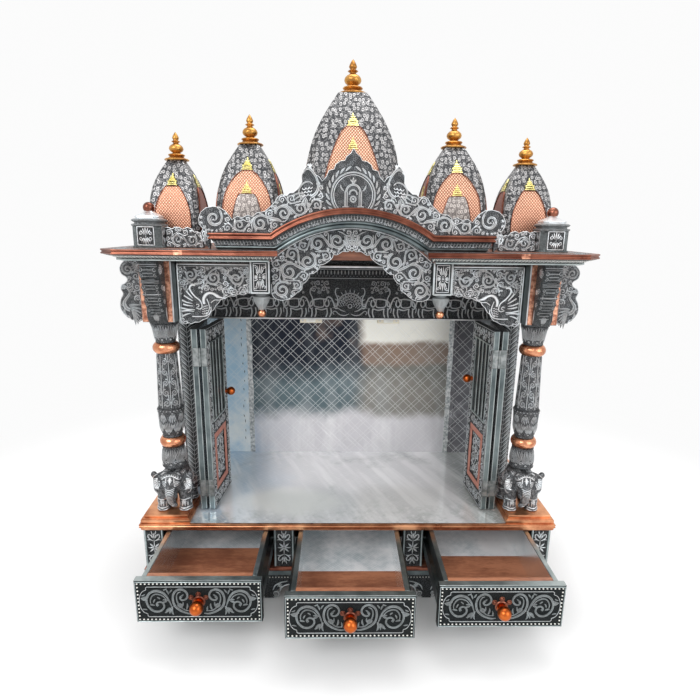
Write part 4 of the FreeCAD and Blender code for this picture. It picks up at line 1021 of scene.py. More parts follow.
def hoodStations():
    half, y, back, line = hoodHigh.x, hoodLow.y, hoodHigh.y, cornice["line"]
    reach = math.sqrt(cornice["radius"] ** 2 - (line - cornice["centreZ"]) ** 2)
    angle = math.asin(reach / cornice["radius"])
    mitre = math.tan(angle / 2)
    stations = [((-half, back, line), (-1, 0, 0), (0, 0, 1)), ((-half, y, line), (-1, -1, 0), (0, 0, 1)),
                ((-reach, y, line), (0, -1, 0), (-mitre, 0, 1))]
    for step in range(1, cornice["steps"]):
        a = -angle + 2 * angle * step / cornice["steps"]
        x, z = arcPoint(a)
        stations.append(((x, y, z), (0, -1, 0), (math.sin(a), 0, math.cos(a))))
    return stations + [((reach, y, line), (0, -1, 0), (mitre, 0, 1)), ((half, y, line), (1, -1, 0), (0, 0, 1)),
                       ((half, back, line), (1, 0, 0), (0, 0, 1))]


hoodCopper = mm([(-22, 0), (-2, 0), (-0.4, -0.7), (0, -2), (-0.4, -3.4), (-1.8, -4.2), (-2.6, -6), (-1.8, -7.8),
                 (-0.4, -8.6), (0, -10), (-0.4, -11.3), (-2, -12), (-22, -12)])
hoodCove = mm([(-22, -11.5), (-4, -11.5), (-5.2, -13), (-7.5, -16), (-9.2, -20), (-9.8, -24.2), (-22, -24.2)])
hoodBeads = mm([(-22, -23.8), (-13.5, -23.8), (-11.6, -24.6), (-10.8, -26.6), (-11.6, -28.6), (-13.4, -29.6),
                (-14.6, -30.6), (-13.2, -31.4), (-12.2, -33.6), (-13.2, -36), (-15, -37.4), (-22, -37.4)])
front = hoodStations()
fit("hood_copper_moulding", [sweep(front, hoodCopper)], copperSheet, "copper_sheet", stands="hood_copper_edge")
fit("hood_cove", [sweep(front, hoodCove)], tone=0.05)
fit("hood_beads", [sweep(front, hoodBeads)], tealMetal, tone=0.3, teal=1.0)
row = alongStations(front[1:-1], lambda v: np.interp(v, [-0.0242, -0.016, -0.0115], [-0.0098, -0.0075, -0.004]))
carve("hood_leaf_row", leafRow(row.length, -0.0225, 0.0085, 0.0062, 0.0013), row, 0.0012, tone=0.55)

# Lower cornice: the same layers round the roof board, broken by the arch

chajja = {"out": 0.436, "corner": 0.011, "copperEnd": 0.139, "coveEnd": 0.149, "beadEnd": 0.158, "joint": 0.320}


def roofStations(end, side):
    out, corner = chajja["out"], chajja["corner"]
    y, back = roofLow.y, roofHigh.y
    rows = [((out, back, 0), (1, 0, 0)), ((out, y + corner, 0), (1, -0.41421, 0)),
            ((out - corner, y, 0), (0.41421, -1, 0)), ((end, y, 0), (0, -1, 0))]
    return [((side * p[0], p[1], p[2]), (side * o[0], o[1], 0), (0, 0, 1)) for p, o in rows]


chajjaCopper = mm([(25, 787), (36.6, 787), (38.4, 786.4), (39, 785.2), (38.4, 783.8), (37.2, 783.1), (36.8, 782),
                   (37.2, 780.9), (38.4, 780.2), (39, 778.9), (38.4, 777.6), (36.6, 777), (25, 777)])
chajjaCove = mm([(9, 777.2), (35.2, 777.2), (33.8, 776.2), (29, 774.8), (22.5, 773.2), (17, 771.4), (13.6, 769),
                 (9, 769)])
chajjaBead = mm([(7, 769.2), (13, 769.2), (14.4, 768.6), (15, 767), (14.4, 765.6), (13, 765.1), (7, 765.1)])


def roofRuns(end, profile):
    return [sweep(roofStations(chajja[end], side), profile) for side in (-1, 1)]


fit("chajja_copper_moulding", roofRuns("copperEnd", chajjaCopper), copperSheet, "copper_sheet",
    stands="chajja_copper_edge")
fit("chajja_cove", roofRuns("coveEnd", chajjaCove), tone=0.05)
fit("chajja_bead", roofRuns("beadEnd", chajjaBead), rimMetal)
rows, patches = [], []
for side in (-1, 1):
    row = alongStations(roofStations(chajja["coveEnd"], side),
                        lambda v: np.interp(v, [0.769, 0.7714, 0.7748, 0.777], [0.0136, 0.017, 0.029, 0.034]))
    rows.append(engrave(leafRow(row.length, 0.7697, 0.0062, 0.0068, 0.0016), row, 0.0014))
    stations = [((side * chajja["joint"] + d, roofLow.y, 0), (0, -1, 0), (0, 0, 1)) for d in (-0.008, 0.008)]
    patches.append(sweep(stations, [(u + 0.0003, v) for u, v in chajjaCopper]))
fit("chajja_leaf_row", rows, pearl)
fit("chajja_joint_patches", patches, copperHammered, "copper_sheet")
print("cornices made")

# Crest: medallion with a small shrine, two birds, scrolls and end curls

crestLow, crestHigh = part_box("crest")
crest = {"face": crestLow.y + 0.003, "medallion": (0.0, 0.8895, 0.042), "relief": 0.0028}
crestEdge = mm([(0, 972.5), (5, 964), (13, 957.5), (16, 951), (25, 949.5), (33, 943.7), (36, 935.5), (45.7, 933), (50,
                                                                                                                   922),
                (58, 914), (63.5, 921.5), (71, 925.5), (77, 931.5), (79.5, 941), (83.5, 943.5), (87.5, 939), (92.5,
                                                                                                              933),
                (96, 924), (95.8, 912), (103, 900), (112, 892.5), (119, 892), (125, 886.5), (134, 889), (141, 885),
                (148, 874), (157, 866), (166, 858), (181, 855.5), (190, 848), (199, 851), (209, 846), (219, 848.5),
                (229, 842), (234, 849), (241, 858), (252, 864.5), (264, 866), (277, 863), (286.5, 855.5), (291.5, 845),
                (291, 834), (284, 824.5), (289, 817), (287.5, 806), (281, 798.5), (276, 790), (273, 787.3),
                (272.6, 818.3), (156, 818.3)])
arcDown = [(x, z + 0.0004) for x, z in [arcPoint(a) for a in np.linspace(math.asin(0.156 / cornice["radius"]), 0, 12)]]
plate = board(mirrored(crestEdge + arcDown), crest["face"], crestHigh.y)
fit("crest_plate", [soften(plate, 0.0008, 1, 50)], carved, stands="crest", tone=0.06)


def peacock():
    # The bird beside the medallion: its breast faces the middle and its head is turned back outwards.
    strokes = penned([(93, 928.5), (88.5, 934), (81.5, 935.5), (74, 928), (67.5, 916), (65.5, 903), (70, 892),
                      (79, 885)], (0.3, 1.5, 2.9, 2.3, 2.0, 2.5, 3.2, 3.0))
    strokes += leaf(0.0905, 0.9325, -0.75, 0.0065, 0.0011, -0.6, 3)
    for index in range(4):
        strokes += leaf(0.0805, 0.9375, 2.3 - 0.42 * index, 0.0085, 0.0010, -0.4, 3)
    strokes += penned([(75.5, 908), (82, 912.5), (91, 911), (99, 903.5), (102, 893.5), (98.5, 883)],
                      (0.5, 1.3, 1.5, 1.5, 1.3, 0.5))
    for row in range(3):
        for column in range(3):
            u, v = 0.0795 + 0.0064 * column + 0.0012 * row, 0.9035 - 0.0062 * row - 0.0012 * column
            strokes += ring(u, v, 0.0029, 0.0009, 7, math.pi, math.pi)
    for index in range(6):
        strokes += leaf(0.0935 - 0.0015 * index, 0.8915 - 0.0022 * index, 0.15 - 0.30 * index,
                        0.0210 - 0.0008 * index, 0.0017, -0.55, 5)
    return strokes + leaf(0.0735, 0.8865, -1.9, 0.0085, 0.0013, 0.6, 4) + leaf(0.0795, 0.8845, -1.5, 0.0075, 0.0011,
                                                                              0.6, 4)


def medallion():
    # Two rings round a small shrine with a lamp on top, for a radius of 1.
    strokes = ring(0, 0, 0.97, 0.036, 48) + ring(0, 0, 0.87, 0.016, 48)
    for side in (-1, 1):
        strokes += straight([(side * 0.36, -0.5), (side * 0.36, 0.16)], 0.035)
        strokes += straight([(side * 0.27, -0.5), (side * 0.27, 0.14)], 0.025)
        strokes += leaf(side * 0.42, 0.18, upward - side * 1.1, 0.3, 0.035, side * 0.9, 4)
        strokes += straight([(side * 0.45, -0.62), (side * 0.45, -0.5), (side * 0.2, -0.5)], 0.03)
    strokes += ring(0, 0.14, 0.31, 0.05, 16, 0, math.pi) + ring(0, 0.05, 0.17, 0.035, 14, -0.2, math.pi + 0.4)
    strokes += ring(0, -0.17, 0.12, 0.035, 14) + dot(0, -0.17, 0.05)
    strokes += straight([(-0.6, -0.68), (0.6, -0.68)], 0.035) + leaf(0, 0.42, upward, 0.34, 0.06, 0, 4)
    return strokes + fan(0, 0.5, upward, 0.25, 3, 1.6, 0.12)


mu, mv, mr = crest["medallion"]
half = []
for index in range(11):
    angle = -1.15 + index * 0.24
    half += leaf(*polar(mu, mv, mr + 0.003, angle), angle + 0.9, 0.0135, 0.0021, 0.5, 4)
half += fan(0.012, mv - mr - 0.003, -0.15, 0.03, 4, 1.2, 0.09) + peacock()
half += spiral(0.263, 0.8445, 0.0175, 2.3, 1, 1.5, 0.14) + spiral(0.263, 0.8445, 0.0215, 1.9, 1, 0.8, 0.07)
half += acanthus(0.2815, 0.809, 0.0085, 0.6, -1, 1.1, 4) + leaf(0.278, 0.825, -1.2, 0.03, 0.0026, -0.4, 5)
crestRight = crestEdge[13:46] + [(0.2726, 0.8185), (0.156, 0.8185)] + [p for p in arcDown if p[0] > 0.03]
half += scrollwork(crestRight, [0.0175, 0.0125, 0.009, 0.0062, 0.0036], 7,
                   [(mu, mv, mr + 0.014), (0.088, 0.898, 0.0215), (0.078, 0.925, 0.015), (0.263, 0.8445, 0.021)])
half += traced(crestEdge[:46], 0.0006)
carve("crest_relief", shifted(medallion(), mu, mv, mr) + bothSides(half), onFront(crest["face"]), crest["relief"],
      groove=0.30)
print("crest made")

# Low side crests and the roof's corner posts

sideLow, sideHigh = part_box("side_crests")
sideFace = sideLow.y + 0.0015
sideEdge = mm([(296, 787), (296, 806), (300, 815), (307, 819), (313, 817.5), (318, 824), (326.5, 827), (335, 823),
               (342, 826.5), (350, 827), (357, 823.5), (364, 826.5), (370, 826), (370, 787)])
plates = [board([(side * x, z) for x, z in sideEdge], sideFace, sideHigh.y, 0.0006) for side in (-1, 1)]
strokes = traced(sideEdge[1:13], 0.0008) + scrollwork(sideEdge, [0.0135, 0.009, 0.0062, 0.0036], 5)
fit("side_crest_plates", plates, carved, stands="side_crests", tone=0.06)
carve("side_crest_relief", bothSides(strokes), onFront(sideFace), 0.0018, groove=0.30)

postLow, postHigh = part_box("roof_posts")
roofPost = {"x": 0.400, "y": (postLow.y + postHigh.y) / 2, "face": 0.0276, "panel": (0.0158, 0.7925, 0.8270),
            "ball": (0.8637, 0.0109), "profile": mm([
                (29.8, 787), (29.8, 790), (27.6, 791.5), (27.6, 828), (29.6, 829.6), (29.6, 832), (25, 833.2),
                (24.2, 835.4), (26.6, 836.6), (29, 838.4), (29.2, 840.4), (26.4, 842), (23, 843), (22, 844.6),
                (23.6, 846), (23.2, 847.6), (18, 850.4), (12, 853.4), (8.5, 856), (7.6, 857.4), (0.4, 858)])}
wide, low, high = roofPost["panel"]
palmette = fan(0, 0.0005, upward, 0.0165, 5, 1.7, 0.085) + bothSides(spiral(0.0088, 0.0048, 0.0042, 2.6, -1, 1.2, 0.2))
palmette = rectangle((-wide, low), (wide, high), 0.0009) + shifted(upAndDown(palmette), 0, (low + high) / 2)
posts, balls, grounds, reliefs = [], [], [], []
for side in (-1, 1):
    x, y = side * roofPost["x"], roofPost["y"]
    posts.append(smooth(loft([cutSquare(x, y, z, r, 0.66) for r, z in roofPost["profile"]]), 24))
    balls.append(ball(x, y, *roofPost["ball"]))
    for quarter in (0, 1, 3, 2):
        face = squareFace(x, y, lambda v: roofPost["face"], quarter)
        reliefs.append(engrave(palmette, face, 0.0014))
        corners = face(np.array([-wide, wide, wide, -wide]), np.array([low, low, high, high]), np.full(4, 0.0002))
        grounds.append(startMesh(corners, faces=[(0, 1, 2, 3)]))
post = joinAll("post", posts)
heights = np.array([v.co.z for v in post.data.vertices])
fit("roof_corner_posts", [post], stands="roof_posts", teal=np.where(heights < 0.829, 0.35, 0.1),
    tone=np.where(heights > 0.8425, 1.0, np.where(heights > 0.829, 0.3, 0.1)))
fit("roof_post_balls", balls, copperSheet, "copper")
fit("roof_post_carving", reliefs)
fit("roof_post_panels", [modify(joinAll("ground", grounds), "SOLIDIFY", thickness=0.0004, offset=0)], tone=0.05)
print("roof posts made")


# Porch
# Arcade: the cusped arch panel, bird spandrels, rosette blocks and pendants

archLow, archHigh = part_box("arch_panel")
arch = {"face": archLow.y + 0.003, "relief": 0.0030, "inset": 0.0385}
archTop = [arcPoint(a, arch["inset"])
           for a in np.linspace(0, math.asin(archHigh.x / (cornice["radius"] - arch["inset"])), 14)]
archCusps = [mm(run) for run in (
    [(163.8, 716), (163.6, 700), (160, 690), (151, 684.6), (140, 683.4), (128, 686.5), (118, 693.5), (111, 700)],
    [(111, 700), (104, 704), (101, 711), (101.5, 719)], [(101.5, 719), (96, 719.5), (90.5, 725), (86, 733), (86.5,
                                                                                                             739)],
    [(86.5, 739), (80, 738), (73, 742), (66, 749), (64, 757)], [(64, 757), (57, 757.5), (48, 763), (40, 770), (37.5,
                                                                                                               777)],
    [(37.5, 777), (30, 776.5), (24, 780), (18, 783.5), (9, 783), (4, 786), (0, 783.5)])]
archEdge = [tuple(p) for run in archCusps for p in rounded(run, 3)[:-1]] + [(0.0, 0.7835)]
archRight = archTop + archEdge
plate = board(mirrored(archRight), arch["face"], archHigh.y)
fit("arch_plate", [soften(plate, 0.0008, 1, 50)], carved, stands="arch_panel", tone=0.05)
half = acanthus(0.142, 0.7045, 0.0185, 2.4, -1, 1.5, 6, 0.15)
half += scrollwork(archRight, [0.0200, 0.0145, 0.0115, 0.0085, 0.0062, 0.0034], 11, [(0.142, 0.7045, 0.019)])
half += traced(archEdge, 0.0006) + traced(archTop, 0.0009)
carve("arch_relief", bothSides(half) + fan(0, 0.788, upward, 0.03, 5, 2.0, 0.1), onFront(arch["face"]),
      arch["relief"], groove=0.30)
print("arch made")

spandrelLow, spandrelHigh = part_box("spandrels")
spandrel = {"face": spandrelLow.y + 0.003, "relief": 0.0030}
spandrelEdge = mm([(356, 640), (351, 634.5), (344, 631.8), (337, 634.5), (331, 632.5), (323, 636), (315, 636), (307,
                                                                                                                641),
                   (299, 644), (293.5, 650), (290, 658), (284, 662), (279, 671), (273, 676.5), (268, 684), (259, 686),
                   (250, 691.5), (240, 690.5), (231, 695.5), (221, 693.5), (213, 698), (205, 697)])
spandrelOutline = mm([(205, 765), (356, 765)]) + spandrelEdge
plates = [board([(side * x, z) for x, z in spandrelOutline], spandrel["face"], spandrelHigh.y, 0.0006)
          for side in (1, -1)]
fit("spandrel_plates", plates, carved, stands="spandrels", tone=0.05)
swan = penned([(261.7, 687), (267.7, 687.7), (274.6, 690), (282.5, 695.2), (291.3, 696.8), (299.1, 692.3),
               (303.5, 683.3), (302.5, 674)], (0.5, 1.9, 4.0, 3.0, 3.1, 3.6, 3.6, 3.0))
swan += penned([(296.8, 684.6), (293.7, 675.7), (292.4, 666.7), (295.1, 657.6), (300.1, 652.4)], 1.0)
swan += penned([(289.5, 668), (289.5, 660.3), (296, 651.5), (308, 648), (328.4, 647.8)], 1.1)
swan += penned([(319.7, 665.8), (312.8, 663.3), (307.9, 666.6), (307.7, 674.3), (311.7, 681.9), (320.2, 688.9),
                (327.2, 697.7), (330.8, 706.6), (326.3, 712.9), (318.8, 712.4)],
               (0.8, 1.0, 1.1, 1.2, 1.4, 1.6, 1.9, 2.2, 2.6, 2.2))
for points in ([(325.4, 685.6), (331.9, 693.2), (337.7, 700.8)], [(325.2, 679.9), (334.9, 685.6), (342.8, 691.2)],
               [(326.7, 674.7), (338, 677.2), (347.5, 681.6)], [(325.8, 669.6), (337.1, 670.8), (345.8, 673.3)],
               [(322.4, 661.9), (336.4, 662.4), (350, 665.5)], [(323.9, 658.4), (337.8, 659.8), (350, 658.7)],
               [(331.8, 654.1), (340.9, 652), (349, 648.1)], [(288.6, 677), (280.7, 682.3), (271.8, 682.3), (263,
                                                                                                             685.5)]):
    swan += penned(points, (0.6, 1.7, 2.1) if len(points) == 3 else 0.9)
for index in range(12):
    row, column = index // 3, index % 3
    swan += ring(0.2975 + 0.0040 * column, 0.6715 - 0.0048 * row - 0.0012 * column, 0.0019, 0.0006, 7, math.pi, math.pi)
swan += ring(0.3165, 0.6705, 0.0030, 0.0008, 10, 0.5, 4.5)
vine = penned([(212, 742), (232, 727), (254, 733), (262, 748), (284, 742), (300, 722), (322, 714), (342, 728)], 1.7)
for scroll in ((0.235, 0.7265, 0.0160, 1.9, 1, 1.45, 6, 0.14), (0.281, 0.7275, 0.0165, 0.4, -1, 1.45, 6, 0.14),
               (0.327, 0.7335, 0.0135, 2.0, 1, 1.35, 5, 0.14), (0.221, 0.7025, 0.0085, 0.4, 1, 1.3, 4, 0.15),
               (0.2465, 0.7005, 0.0075, 2.4, -1, 1.3, 4, 0.15)):
    vine += acanthus(*scroll)
for u, v, heading in ((0.212, 0.744, -0.5), (0.257, 0.744, -2.3), (0.304, 0.742, -0.7), (0.345, 0.747, -2.3),
                      (0.3435, 0.712, 2.2), (0.262, 0.707, 0.2), (0.340, 0.700, 1.9), (0.306, 0.709, 2.9)):
    vine += fan(u, v, heading, 0.0125, 3, 1.5, 0.12)
vine += scrollwork(mm([(207, 751), (353, 751)]) + spandrelEdge, [0.0085, 0.0056, 0.0032], 4,
                   [(0.235, 0.7265, 0.018), (0.281, 0.7275, 0.019), (0.327, 0.7335, 0.016), (0.300, 0.672, 0.025),
                    (0.325, 0.660, 0.024), (0.328, 0.695, 0.019), (0.278, 0.689, 0.013), (0.344, 0.680, 0.013)])
vine += traced(spandrelEdge, 0.0006)
face = onFront(spandrel["face"])
fit("spandrel_relief", [engrave(bothSides(swan), face, spandrel["relief"] + 0.0004, sides=2),
                        engrave(bothSides(vine), face, spandrel["relief"], groove=0.30)])
frames = straight(mm([(207.5, 697), (207.5, 755), (353.5, 755), (353.5, 640)]), 0.0021)
frames += straight(mm([(211.5, 700), (211.5, 750.5), (349.5, 750.5), (349.5, 640)]), 0.0008)
carve("spandrel_frame", bothSides(frames), face, 0.0034, teal=0.35)

rosetteX, rosetteZ = 0.1845, 0.7315
petals = rectangle((0.1718, 0.7045), (0.1972, 0.7585), 0.0008)
for heading in (0, upward, math.pi, -upward):
    long, width = (0.0225, 0.052) if abs(math.sin(heading)) > 0.5 else (0.0105, 0.085)
    petals += fan(*polar(rosetteX, rosetteZ, 0.0025, heading), heading, long, 5, 1.25, width)
for heading in (0.785, 2.356, -0.785, -2.356):
    petals += leaf(*polar(rosetteX, rosetteZ, 0.0045, heading), heading, 0.0105, 0.0012, 0.5, 4)
for u in (-1, 1):
    for v in (-1, 1):
        petals += spiral(rosetteX + u * 0.0088, rosetteZ + v * 0.0205, 0.0042, 0, u * v, 1.1, 0.2)
petals += dot(rosetteX, rosetteZ, 0.0022)
face = onFront(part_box("rosette_blocks")[0].y)
carve("rosette_frames", bothSides(rectangle((0.1665, 0.6995), (0.2025, 0.7635), 0.0023)), face, 0.0024, teal=0.45)
carve("rosette_flowers", bothSides(petals), face, 0.0022)

pendant = {"x": rosetteX, "y": -0.0295, "flutes": 14, "ball": (0.656, 0.009), "profile": mm([
    (0, 698), (12, 698), (12.4, 696.5), (11.6, 695), (10, 694.4), (9.6, 693.4), (13.6, 692.4), (17.4, 690.6),
    (17.6, 688.4), (16.6, 686.6), (16.2, 683.6), (14.4, 678.6), (11.4, 673.5), (8.4, 668.6), (6, 664.8), (4.6, 663),
    (0, 662.6)])}
cups, drops = [], []
for side in (-1, 1):
    x, y = side * pendant["x"], pendant["y"]

    def flute(points):
        dx, dy = points[:, 0] - x, points[:, 1] - y
        deep = ((points[:, 2] < 0.6875) & (points[:, 2] > 0.664)) * 0.07
        factor = 1 - deep * (0.5 + 0.5 * np.cos(np.arctan2(dy, dx) * pendant["flutes"]))
        return np.stack([x + dx * factor, y + dy * factor, points[:, 2]], 1)
    cups.append(movePoints(lathe(pendant["profile"], x, y, 84, 40), flute))
    drops.append(ball(x, y, *pendant["ball"]))
fit("pendant_cups", cups, stands="pendants", tone=0.55, teal=0.3)
fit("pendant_balls", drops, copperBright, "copper")
print("arcade made")

# Porch posts: copper and steel strips, forward corbels with three bulges, side brackets with a bird

postLow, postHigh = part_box("porch_posts")
pieces, steels = [], []
for side in (-1, 1):
    ys, zs = (postLow.y - 0.0016, postLow.y + 0.001), (postLow.z + 0.001, postHigh.z - 0.0002)
    pieces += [sideBox(side, xs, ys, zs, 0.0005) for xs in ((0.3595, 0.3714), (0.4048, 0.4192))]
    pieces.append(sideBox(side, (0.4196, 0.4212), (postLow.y + 0.001, postLow.y + 0.0055),
                          (postLow.z + 0.001, postHigh.z - 0.001), 0.0004))
    steels.append(sideBox(side, (0.3563, 0.3593), ys, zs, 0.0005))
fit("post_copper_strips", pieces, copperHammered, "copper_sheet")
fit("post_steel_strips", steels, steel)

corbel = {"x": 0.388, "half": 0.0188, "reach": mm([
    (765, 41.5), (758.5, 41.5), (756.5, 39), (755, 37.2), (751, 40), (744, 41.4), (737, 39.5), (731, 34), (728, 31),
    (726.6, 33.4), (724.4, 34.4), (722.2, 33), (720.6, 29.5), (716, 31.8), (710, 32.2), (705, 29), (702.4, 25.6),
    (701, 27.4), (698.8, 28), (697, 26.4), (695.6, 22.6), (690, 24), (683, 23.4), (676, 19.5), (669, 14.5), (661, 12.6),
    (652, 12.4), (646, 9.5), (641, 4.5), (637.4, 1.0)])}


def corbelReach(z):
    heights, reaches = zip(*corbel["reach"][::-1])
    return np.interp(z, heights, reaches)


corbels, strokes = [], []
levels = np.unique(np.concatenate([[p[0] for p in corbel["reach"]], np.linspace(0.6374, 0.765, 60)]))
for side in (-1, 1):
    rings = []
    for z in levels:
        o, h = float(corbelReach(z)), corbel["half"]
        r = min(o * 0.45, 0.006)
        half = [(h, -0.001), (h, o - r), (h - r * 0.4, o - r * 0.35), (h - r, o), (0.006, o), (0.0035, o - 0.0014)]
        section = [(-u, v) for u, v in half] + half[::-1]
        rings.append([(side * corbel["x"] + u, postLow.y - v, z) for u, v in section])
    corbels.append(smooth(loft(rings), 40))
fit("front_corbels_carved", corbels, stands="front_corbels", tone=0.03, teal=0.04)
for index in range(17):
    v = 0.655 + index * 0.0062
    strokes += straight([(-0.0095, v), (0.0095, v)], 0.0007)
for v, size in ((0.7475, 0.0048), (0.7365, 0.0042), (0.7145, 0.0042), (0.7055, 0.0038), (0.6880, 0.0042),
                (0.6785, 0.0038), (0.6660, 0.0036)):
    strokes += bothSides(spiral(0.0135, v, size, 1.2, 1, 1.2, 0.17))
strokes += fan(0, 0.640, upward, 0.020, 5, 1.0, 0.07) + bothSides(leaf(0.0125, 0.6955, 1.4, 0.0095, 0.0013, 0.5, 4))
for z in (0.7585, 0.7545, 0.7265, 0.7225, 0.7000, 0.6965):
    strokes += straight([(-0.0178, z), (0.0178, z)], 0.0010)
carvings = [engrave(strokes, lambda u, v, w: np.stack([side * corbel["x"] + u, postLow.y - corbelReach(v) - w, v], 1),
                    0.0012, 0.0012, tone=0.55) for side in (-1, 1)]
cheeks = fan(0.012, 0.748, 0.0, 0.024, 5, 1.3, 0.1) + spiral(0.028, 0.744, 0.0085, 0, 1, 1.4, 0.15)
cheeks += spiral(0.021, 0.711, 0.007, 0, 1, 1.3, 0.15) + fan(0.004, 0.707, 0.3, 0.014, 4, 1.2, 0.12)
cheeks += spiral(0.014, 0.683, 0.006, 0, 1, 1.3, 0.15) + leaf(0.005, 0.645, 1.3, 0.028, 0.0026, 0.3, 5)
for side in (-1, 1):
    for way in (-1, 1):
        x = side * corbel["x"] + way * corbel["half"]
        carvings.append(engrave(cheeks, lambda u, v, w: np.stack([x + way * w, postLow.y - u, v], 1), 0.0010, tone=0.8))
fit("front_corbel_carving", carvings)

bracketLow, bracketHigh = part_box("side_brackets")
bracket = {"front": bracketLow.y + 0.002, "back": bracketHigh.y - 0.002, "relief": 0.0022}
bracketEdge = [tuple(p) for p in rounded(mm([
    (420, 765), (440, 765), (450, 761), (458, 753), (460.5, 744), (457.5, 735), (450, 730), (447, 724), (452, 717),
    (459.5, 713), (461.5, 705), (458, 696), (463, 686), (466, 673), (463.5, 661), (456, 652), (450, 650), (446, 643),
    (438, 643.5), (432, 639.8), (427, 644), (420, 640)]), 3)]
plates = [soften(board([(side * x, z) for x, z in bracketEdge], bracket["front"], bracket["back"]), 0.0012, 2, 50)
          for side in (1, -1)]
fit("side_bracket_plates", plates, carved, stands="side_brackets", tone=0.07)
strokes = traced(bracketEdge[1:-1], 0.0009)
strokes += spiral(0.4455, 0.745, 0.0128, 1.4, -1, 1.6, 0.16) + fan(0.4235, 0.7525, -0.3, 0.015, 4, 1.4, 0.12)
strokes += acanthus(0.430, 0.7315, 0.0095, 0.5, 1, 1.35, 5, 0.16) + acanthus(0.4295, 0.709, 0.0085, 0.4, -1, 1.3, 4,
                                                                             0.16)
strokes += penned([(461, 706), (455, 709.5), (447.5, 706), (445, 697), (451, 688), (457.5, 678), (454, 667), (446,
                                                                                                              663)],
                  (0.5, 2.2, 2.1, 2.1, 2.8, 3.8, 4.6, 4.2))
for index in range(7):
    strokes += leaf(0.4485 - 0.001 * index, 0.6725 - 0.003 * index, 2.9 + 0.24 * index, 0.0235, 0.0021, 0.35, 5)
for index in range(4):
    strokes += leaf(0.4575, 0.667 - 0.004 * index, -0.9 - 0.35 * index, 0.0125, 0.0016, -0.6, 4)
strokes += scrollwork(bracketEdge, [0.0072, 0.0044, 0.0028], 3, [(0.4455, 0.745, 0.0125), (0.430, 0.7315, 0.0095),
                      (0.4295, 0.709, 0.0085), (0.452, 0.690, 0.014), (0.441, 0.661, 0.02)])
fit("side_bracket_relief", [engrave(bothSides(strokes), onFront(bracket[end], facing), bracket["relief"], tone=0.72,
                                    groove=0.36) for end, facing in (("front", -1), ("back", 1))])
print("posts and brackets made")

# Pillars: collar, vase, eight-sided shaft and capital, with leaves wrapped round them

pillar = {"x": 0.388, "y": -0.0245, "shaft": (0.450, 0.571), "shaftReach": (0.0246, 0.0204), "shaftTurn": 0.0225}
lowProfile = mm([(0, 314.2), (25, 314.2), (26.2, 315.4), (26.2, 318), (25, 319.4), (25.6, 321), (26.2, 330), (25.6,
                                                                                                              342),
                 (23.8, 352), (22.2, 357.4), (23.6, 358.6), (23.4, 360.6), (21.4, 361.8), (17.6, 362.4), (17.6, 383.4),
                 (20.4, 384.6), (21.2, 386.8), (19.8, 388.6), (21.4, 392), (24, 400), (25.4, 410), (25.6, 424), (26.2,
                                                                                                                 436),
                 (26.8, 442.4), (27.4, 444), (27.6, 447), (27, 449.6), (25, 450.2), (0, 450.2)])
highProfile = mm([(0, 570.6), (20, 570.8), (17.6, 571.6), (17.6, 592.4), (19.4, 593.4), (20.6, 595), (20, 597), (20.4,
                                                                                                                 604),
                  (21.6, 614), (23.6, 623), (26.6, 629.8), (27.8, 631.6), (27.8, 634), (26.4, 635), (27.6, 636.6),
                  (27.8, 639.6), (0, 639.8)])


def shaftReach(v, angle):
    fold = np.mod(angle + math.pi / 8, math.pi / 4) - math.pi / 8
    return np.interp(v, pillar["shaft"], pillar["shaftReach"]) * math.cos(math.pi / 8) / np.cos(fold)


def turnedReach(profile):
    radii, heights = zip(*profile[2:-1])
    return lambda v, angle: np.interp(v, heights, radii)


turns, shafts, carvings, shaftStrokes = [], [], [], []
perimeter = math.tau * pillar["shaftTurn"]
for face in range(8):
    u = face * perimeter / 8
    hand = 1 if face % 2 else -1
    for level in range(5):
        v = 0.4605 + level * 0.0225
        shaftStrokes += acanthus(u, v + 0.004, 0.0084 - 0.0004 * level, upward, hand, 1.35, 4, 0.17)
        shaftStrokes += leaf(u - hand * 0.004, v + 0.011, upward + hand * 0.5, 0.011, 0.0013, -hand * 0.9, 4)
        hand = -hand
    shaftStrokes += straight([(u + perimeter / 16, 0.4535), (u + perimeter / 16, 0.568)], 0.0007)
wraps = []
for index in range(8):
    step = math.tau * 0.0262 / 8
    wraps.append((0.0262, fan(index * step, 0.3205, upward, 0.036, 7, 1.15, 0.036)
                  + leaf((index + 0.5) * step, 0.345, upward, 0.012, 0.0016, 0, 4)
                  + spiral((index + 0.5) * step, 0.328, 0.0045, 0, 1, 1.2, 0.2)))
    step = math.tau * 0.0255 / 8
    wraps.append((0.0255, fan(index * step, 0.3925, upward, 0.03, 7, 1.2, 0.038)
                  + fan((index + 0.5) * step, 0.4435, -upward, 0.024, 5, 1.1, 0.045)
                  + rosette((index + 0.5) * step, 0.4115, 0.005, 6, 0.26)))
for index in range(24):
    wraps.append((0.0276, dot(index * math.tau * 0.0276 / 24, 0.4468, 0.0013)))
for index in range(8):
    step = math.tau * 0.0235 / 8
    wraps.append((0.0235, fan(index * step, 0.5985, upward, 0.034, 7, 1.3, 0.045)
                  + leaf((index + 0.5) * step, 0.601, upward, 0.026, 0.0026, 0.0, 5)))
